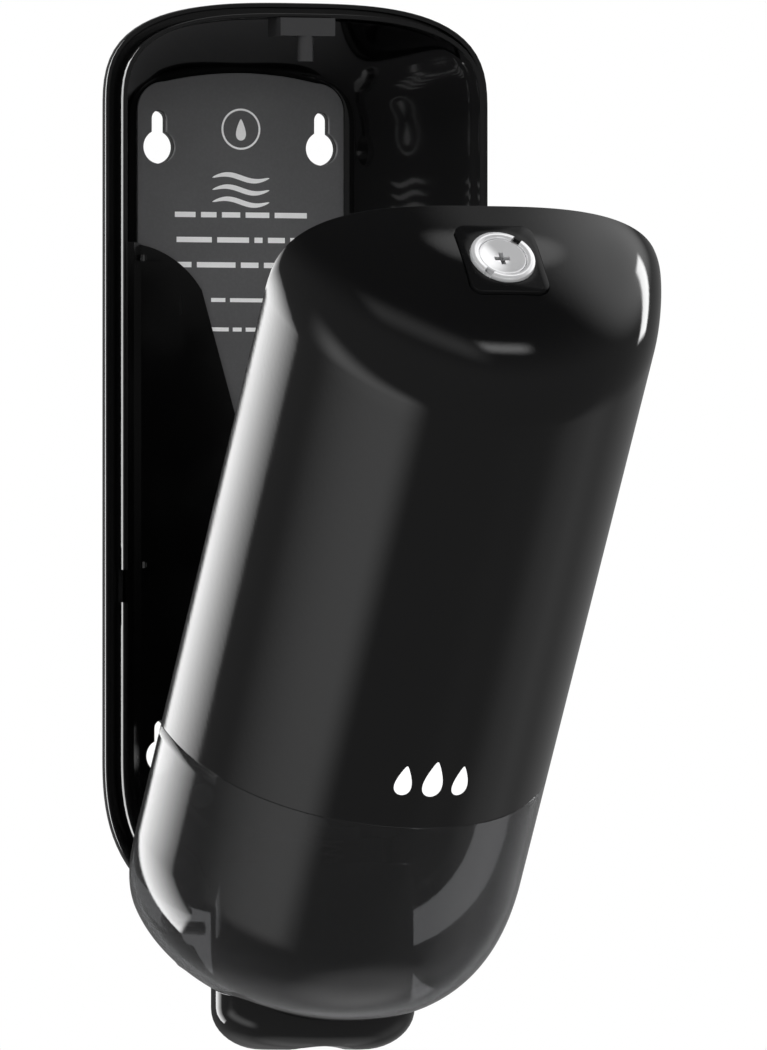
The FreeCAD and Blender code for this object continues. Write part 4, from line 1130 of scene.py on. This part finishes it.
def lock_matrix():
    """Place of the lock on the open cover: its axis stands square on the dome."""
    share = LOCK_FORWARD / COVER_DEPTH
    fall = math.sqrt(1 - share**2)
    tilt = math.atan(TOP_ROUND / COVER_DEPTH * share / fall)
    spot = Vector((0, cover_y - LOCK_FORWARD, TOP - TOP_ROUND * (1 - fall)))
    return swing @ Matrix.Translation(spot) @ Matrix.Rotation(tilt, 4, "X")


lock_place = lock_matrix()


def at_lock(points):
    """Points of the lock's own frame (x across, y towards the wall, z out of the cover) in place."""
    return np.array([lock_place @ Vector(point) for point in points])


def along_lock(name, outlines, levels):
    """Solid through outlines that lie square to the lock's axis, each at its level."""
    rings = []
    for outline, level in zip(outlines, levels):
        rings.append(at_lock([(x, y, level) for x, y in outline]))
    return lofted(name, rings)


def bezel_outline(grow):
    """Rounded rectangle of the lock's bezel, larger all round by the amount to grow."""
    width, length = [size + 2 * grow for size in BEZEL_SIZE]
    radius = BEZEL_CORNER + grow
    corners = []
    for sx, sy, start in ((1, 1, 0), (-1, 1, 90), (-1, -1, 180), (1, -1, 270)):
        centre = (sx * (width / 2 - radius), sy * (length / 2 - radius))
        corners.append(circle(radius, 8, centre, start, start + 90))
    return np.concatenate(corners)


cover = wall_between("front_cover_shell", edge_layers(cover_rows, COVER_WALL, COVER_EDGE))
carve(cover, [along_lock("seat", [bezel_outline(BEZEL_SEAM)] * 2, SEAT_CUT)])
cover_gloss = gloss_plastic("cover_gloss_black", COVER_COLOUR, 0.055, smudge=0.03, dust=0.12)
finished(cover, cover_gloss, "cover", angle=20, stands_for=["front_cover"])

MARK_LEVEL = 109.0
MARK_SPREAD = 8.2
SIDE_DROP = 9.6
MIDDLE_DROP = 11.6


def on_cover(u, v, lift):
    """Point of the cover's face, raised by the lift."""
    flat = (u, cover_y - section_depth(u, 0) - lift, v)
    return tuple(opened([flat])[0])


cover_marks = [
    drop_mark(SIDE_DROP, (-MARK_SPREAD, LOW + MARK_LEVEL)),
    drop_mark(MIDDLE_DROP, (0, LOW + MARK_LEVEL + (MIDDLE_DROP - SIDE_DROP) / 2)),
    drop_mark(SIDE_DROP, (MARK_SPREAD, LOW + MARK_LEVEL)),
]
printed("cover_print", cover_marks, on_cover, "cover")

# ---------------------------------------------------------------------------------- level window
# Smoked clear plastic that closes the cover's lower end, so the soap's level shows through. It is
# notched underneath for the push bar and carries two lugs that hang on the hinge pins.
SMOKE = (0.064, 0.065, 0.067, 1)
NOTCH_HALF = 31.0
NOTCH_DEPTH = 42.0
NOTCH_RADIUS = 12.0
NOTCH_TOP = 19.0
LUG_INNER = 31.3
LUG_WIDTH = 3.2
LUG_RADIUS = 3.8

window = wall_between("level_window_shell", edge_layers(window_rows, COVER_WALL, COVER_EDGE))
corner_x, corner_y = NOTCH_HALF - NOTCH_RADIUS, cover_y - NOTCH_DEPTH + NOTCH_RADIUS
notch = [(-NOTCH_HALF, cover_y + BEYOND), (NOTCH_HALF, cover_y + BEYOND)]
notch += list(circle(NOTCH_RADIUS, 16, (corner_x, corner_y), 0, -90))
notch += list(circle(NOTCH_RADIUS, 16, (-corner_x, corner_y), -90, -180))
notch_rings = [opened([(x, y, z) for x, y in notch]) for z in (LOW - BEYOND, LOW + NOTCH_TOP)]
carve(window, [lofted("notch", notch_rings)])

window_smoke, smoke_tree, smoke_shader = material("window_smoke")
smoke_finish = use_group(smoke_tree, polish, Roughness=0.03, Smudge=0.03, Dust=0.05)
smoke_shader.inputs["Base Color"].default_value = SMOKE
smoke_shader.inputs["Transmission Weight"].default_value = 1.0
smoke_shader.inputs["IOR"].default_value = PLASTIC_IOR
smoke_tree.links.new(smoke_finish.outputs["Roughness"], smoke_shader.inputs["Roughness"])
bump(smoke_tree, smoke_shader, smoke_finish.outputs["Height"], 0.000002)
finished(window, window_smoke, "cover", angle=20, stands_for=["level_window"])


def lug(side):
    """Curved arm from the window's lower edge to the hinge pin."""
    profile = [
        (hinge_y - 9, LOW - 1.2),
        (cover_y - 0.7, LOW + 1.2),
        (cover_y - 10.7, LOW + 5.6),
        (cover_y - 10.7, LOW + 8.0),
        (cover_y - 0.6, LOW + 7.2),
        (cover_y - 0.3, LOW + 3.6),
        (hinge_y - 9, LOW + 3.0),
    ]
    profile += [(hinge_y + y, LOW + z) for y, z in circle(LUG_RADIUS, 20, (0, 0), 85, -95)]
    x0, x1 = side * LUG_INNER, side * (LUG_INNER + LUG_WIDTH)
    arm = lofted("lug", [opened([(x, y, z) for y, z in profile]) for x in (x0, x1)])
    bore = [(hinge_y + u, hinge_z + v) for u, v in circle(PIN_BORE, 32)]
    ends = (x0 - side * BEYOND, x1 + side * BEYOND)
    return carve(arm, [lofted("bore", [opened([(x, y, z) for y, z in bore]) for x in ends])])


lugs = joined("hinge_lugs", [lug(side) for side in (-1, 1)])
finished(lugs, cradle_gloss, "cover", edge=0.25)

# ------------------------------------------------------------------------------------------ lock
# A chromed cam lock set in a separate rounded plate: a raised ring with two slots, a dished plug
# that the key turns, a nut and housing behind it, and the sickle-shaped cam that hooks the keeper.
RING_RADIUS = 9.1
RING_PROUD = 1.5
RING_SLOT = 2.4
RING_SLOT_TURN = -42.0
RING_SLOT_CUT = (24.0, 5.0)  # length and top level of its cutter
BODY_RADIUS = 7.0
BODY_BORE = 5.25
BODY_END = -12.4
FACE_RADIUS = 6.7
FACE_DEPTH = -0.9
FACE_TOP = 1.0
FACE_GAP = 0.05
DISH_DEPTH = 0.9
DISH_BORDER = 0.6
PLUG_RADIUS = 5.2
PLUG_END = -12.75
BEZEL_PROUD = 0.35
BEZEL_DEEP = 4.6
BEZEL_BORE = 0.15  # wider than the ring
BEZEL_EDGE = ((0.0, 0.4), (0.12, 0.12), (0.4, 0.0))  # its round: inset and drop
KEYWAY = (4.4, 1.3)
CHROME = (0.88, 0.88, 0.89, 1)
CHROME_DULL = (0.6, 0.6, 0.6, 1)
BEZEL_BLACK = (0.004, 0.004, 0.0042, 1)
HOUSING_BLACK = (0.02, 0.02, 0.02, 1)


def turned(name, profile):
    """Solid of revolution about the lock's axis through (radius, level) points."""
    rings = []
    for radius, level in profile:
        rings.append(at_lock([(u, v, level) for u, v in circle(max(radius, 1e-4), 96)]))
    return lofted(name, rings, capped=profile[0] != profile[-1])


bezel_under = BEZEL_PROUD - BEZEL_DEEP
bezel_outlines = [bezel_outline(-inset) for inset in (0, *[inset for inset, drop in BEZEL_EDGE])]
bezel_levels = [bezel_under] + [BEZEL_PROUD - drop for inset, drop in BEZEL_EDGE]
bezel = along_lock("lock_bezel_plate", bezel_outlines, bezel_levels)
bore_radius = RING_RADIUS + BEZEL_BORE
carve(bezel, [turned("bore", [(bore_radius, -BEYOND), (bore_radius, BEYOND)])])
bezel_gloss = gloss_plastic("bezel_satin_black", BEZEL_BLACK, 0.14)
bezel_gloss.node_tree.nodes["Principled BSDF"].inputs["IOR"].default_value = 1.3
finished(bezel, bezel_gloss, "cover", stands_for=["lock_bezel"])

shoulder = bezel_under + 0.3
ring_profile = [
    (BODY_RADIUS, shoulder),
    (RING_RADIUS, shoulder),
    (RING_RADIUS, RING_PROUD - 0.7),
    (RING_RADIUS - 0.2, RING_PROUD - 0.2),
    (RING_RADIUS - 0.7, RING_PROUD),
    (FACE_RADIUS + 0.55, RING_PROUD),
    (FACE_RADIUS + 0.2, RING_PROUD - 0.15),
    (FACE_RADIUS + FACE_GAP, RING_PROUD - 0.5),
    (FACE_RADIUS + FACE_GAP, FACE_DEPTH),
    (BODY_BORE, FACE_DEPTH),
    (BODY_BORE, BODY_END),
    (BODY_RADIUS, BODY_END),
    (BODY_RADIUS, shoulder),
]
ring = turned("lock_ring_head", ring_profile)


def rectangle(width, length, turn=0.0):
    """Corners of a rectangle about the lock's axis, turned by an angle in degrees."""
    spin = math.radians(turn)
    corners = []
    for sx, sy in ((-1, -1), (1, -1), (1, 1), (-1, 1)):
        x, y = sx * width / 2, sy * length / 2
        corners.append((x * math.cos(spin) - y * math.sin(spin), x * math.sin(spin) + y * math.cos(spin)))
    return corners


slot = rectangle(RING_SLOT, RING_SLOT_CUT[0], RING_SLOT_TURN)
carve(ring, [along_lock("slot", [slot] * 2, (FACE_DEPTH, RING_SLOT_CUT[1]))])

chrome, chrome_tree, chrome_shader = material("polished_chrome")
chrome_finish = use_group(chrome_tree, brushed, Roughness=0.05, Wear=0.06)
chrome_tree.links.new(
    blend_colours(chrome_tree, chrome_finish.outputs["Shade"], CHROME, CHROME_DULL),
    chrome_shader.inputs["Base Color"],
)
chrome_tree.links.new(chrome_finish.outputs["Roughness"], chrome_shader.inputs["Roughness"])
chrome_shader.inputs["Metallic"].default_value = 0.62
finished(ring, chrome, "cover", 0.12, 30, ["lock_ring"])

plug_profile = [(0.0, PLUG_END), (PLUG_RADIUS, PLUG_END), (PLUG_RADIUS, FACE_DEPTH)]
plug_profile += [(FACE_RADIUS, FACE_DEPTH), (FACE_RADIUS, FACE_TOP - 0.3), (FACE_RADIUS - 0.3, FACE_TOP)]
for share in np.linspace(1, 0, 12):
    radius = (FACE_RADIUS - DISH_BORDER) * share
    plug_profile.append((radius, FACE_TOP - DISH_DEPTH * (1 - share**2)))
plug = turned("lock_plug", plug_profile)
KEYWAY_CUT = (-4.0, 3.0)  # levels of the cutters for the crossed keyway
keyways = [rectangle(*KEYWAY[::-1]), rectangle(*KEYWAY)]
carve(plug, [along_lock("keyway", [outline] * 2, KEYWAY_CUT) for outline in keyways])
finished(plug, chrome, "lock", 0.1, 30, ["lock_barrel"])

housing_matte = matte_plastic("housing_nylon", HOUSING_BLACK, 0.5)
cam_zinc = metal("cam_zinc", (0.55, 0.55, 0.55, 1), (0.35, 0.35, 0.35, 1), 0.34, wear=0.3)
dressed("lock_housing", housing_matte, "cover", edge=0.25)
dressed("lock_nut", zinc_plate, "cover", edge=0.2, angle=25)
dressed("lock_cam", cam_zinc, "lock", angle=30)
dressed("cam_screw", zinc_plate, "lock", edge=0.2)
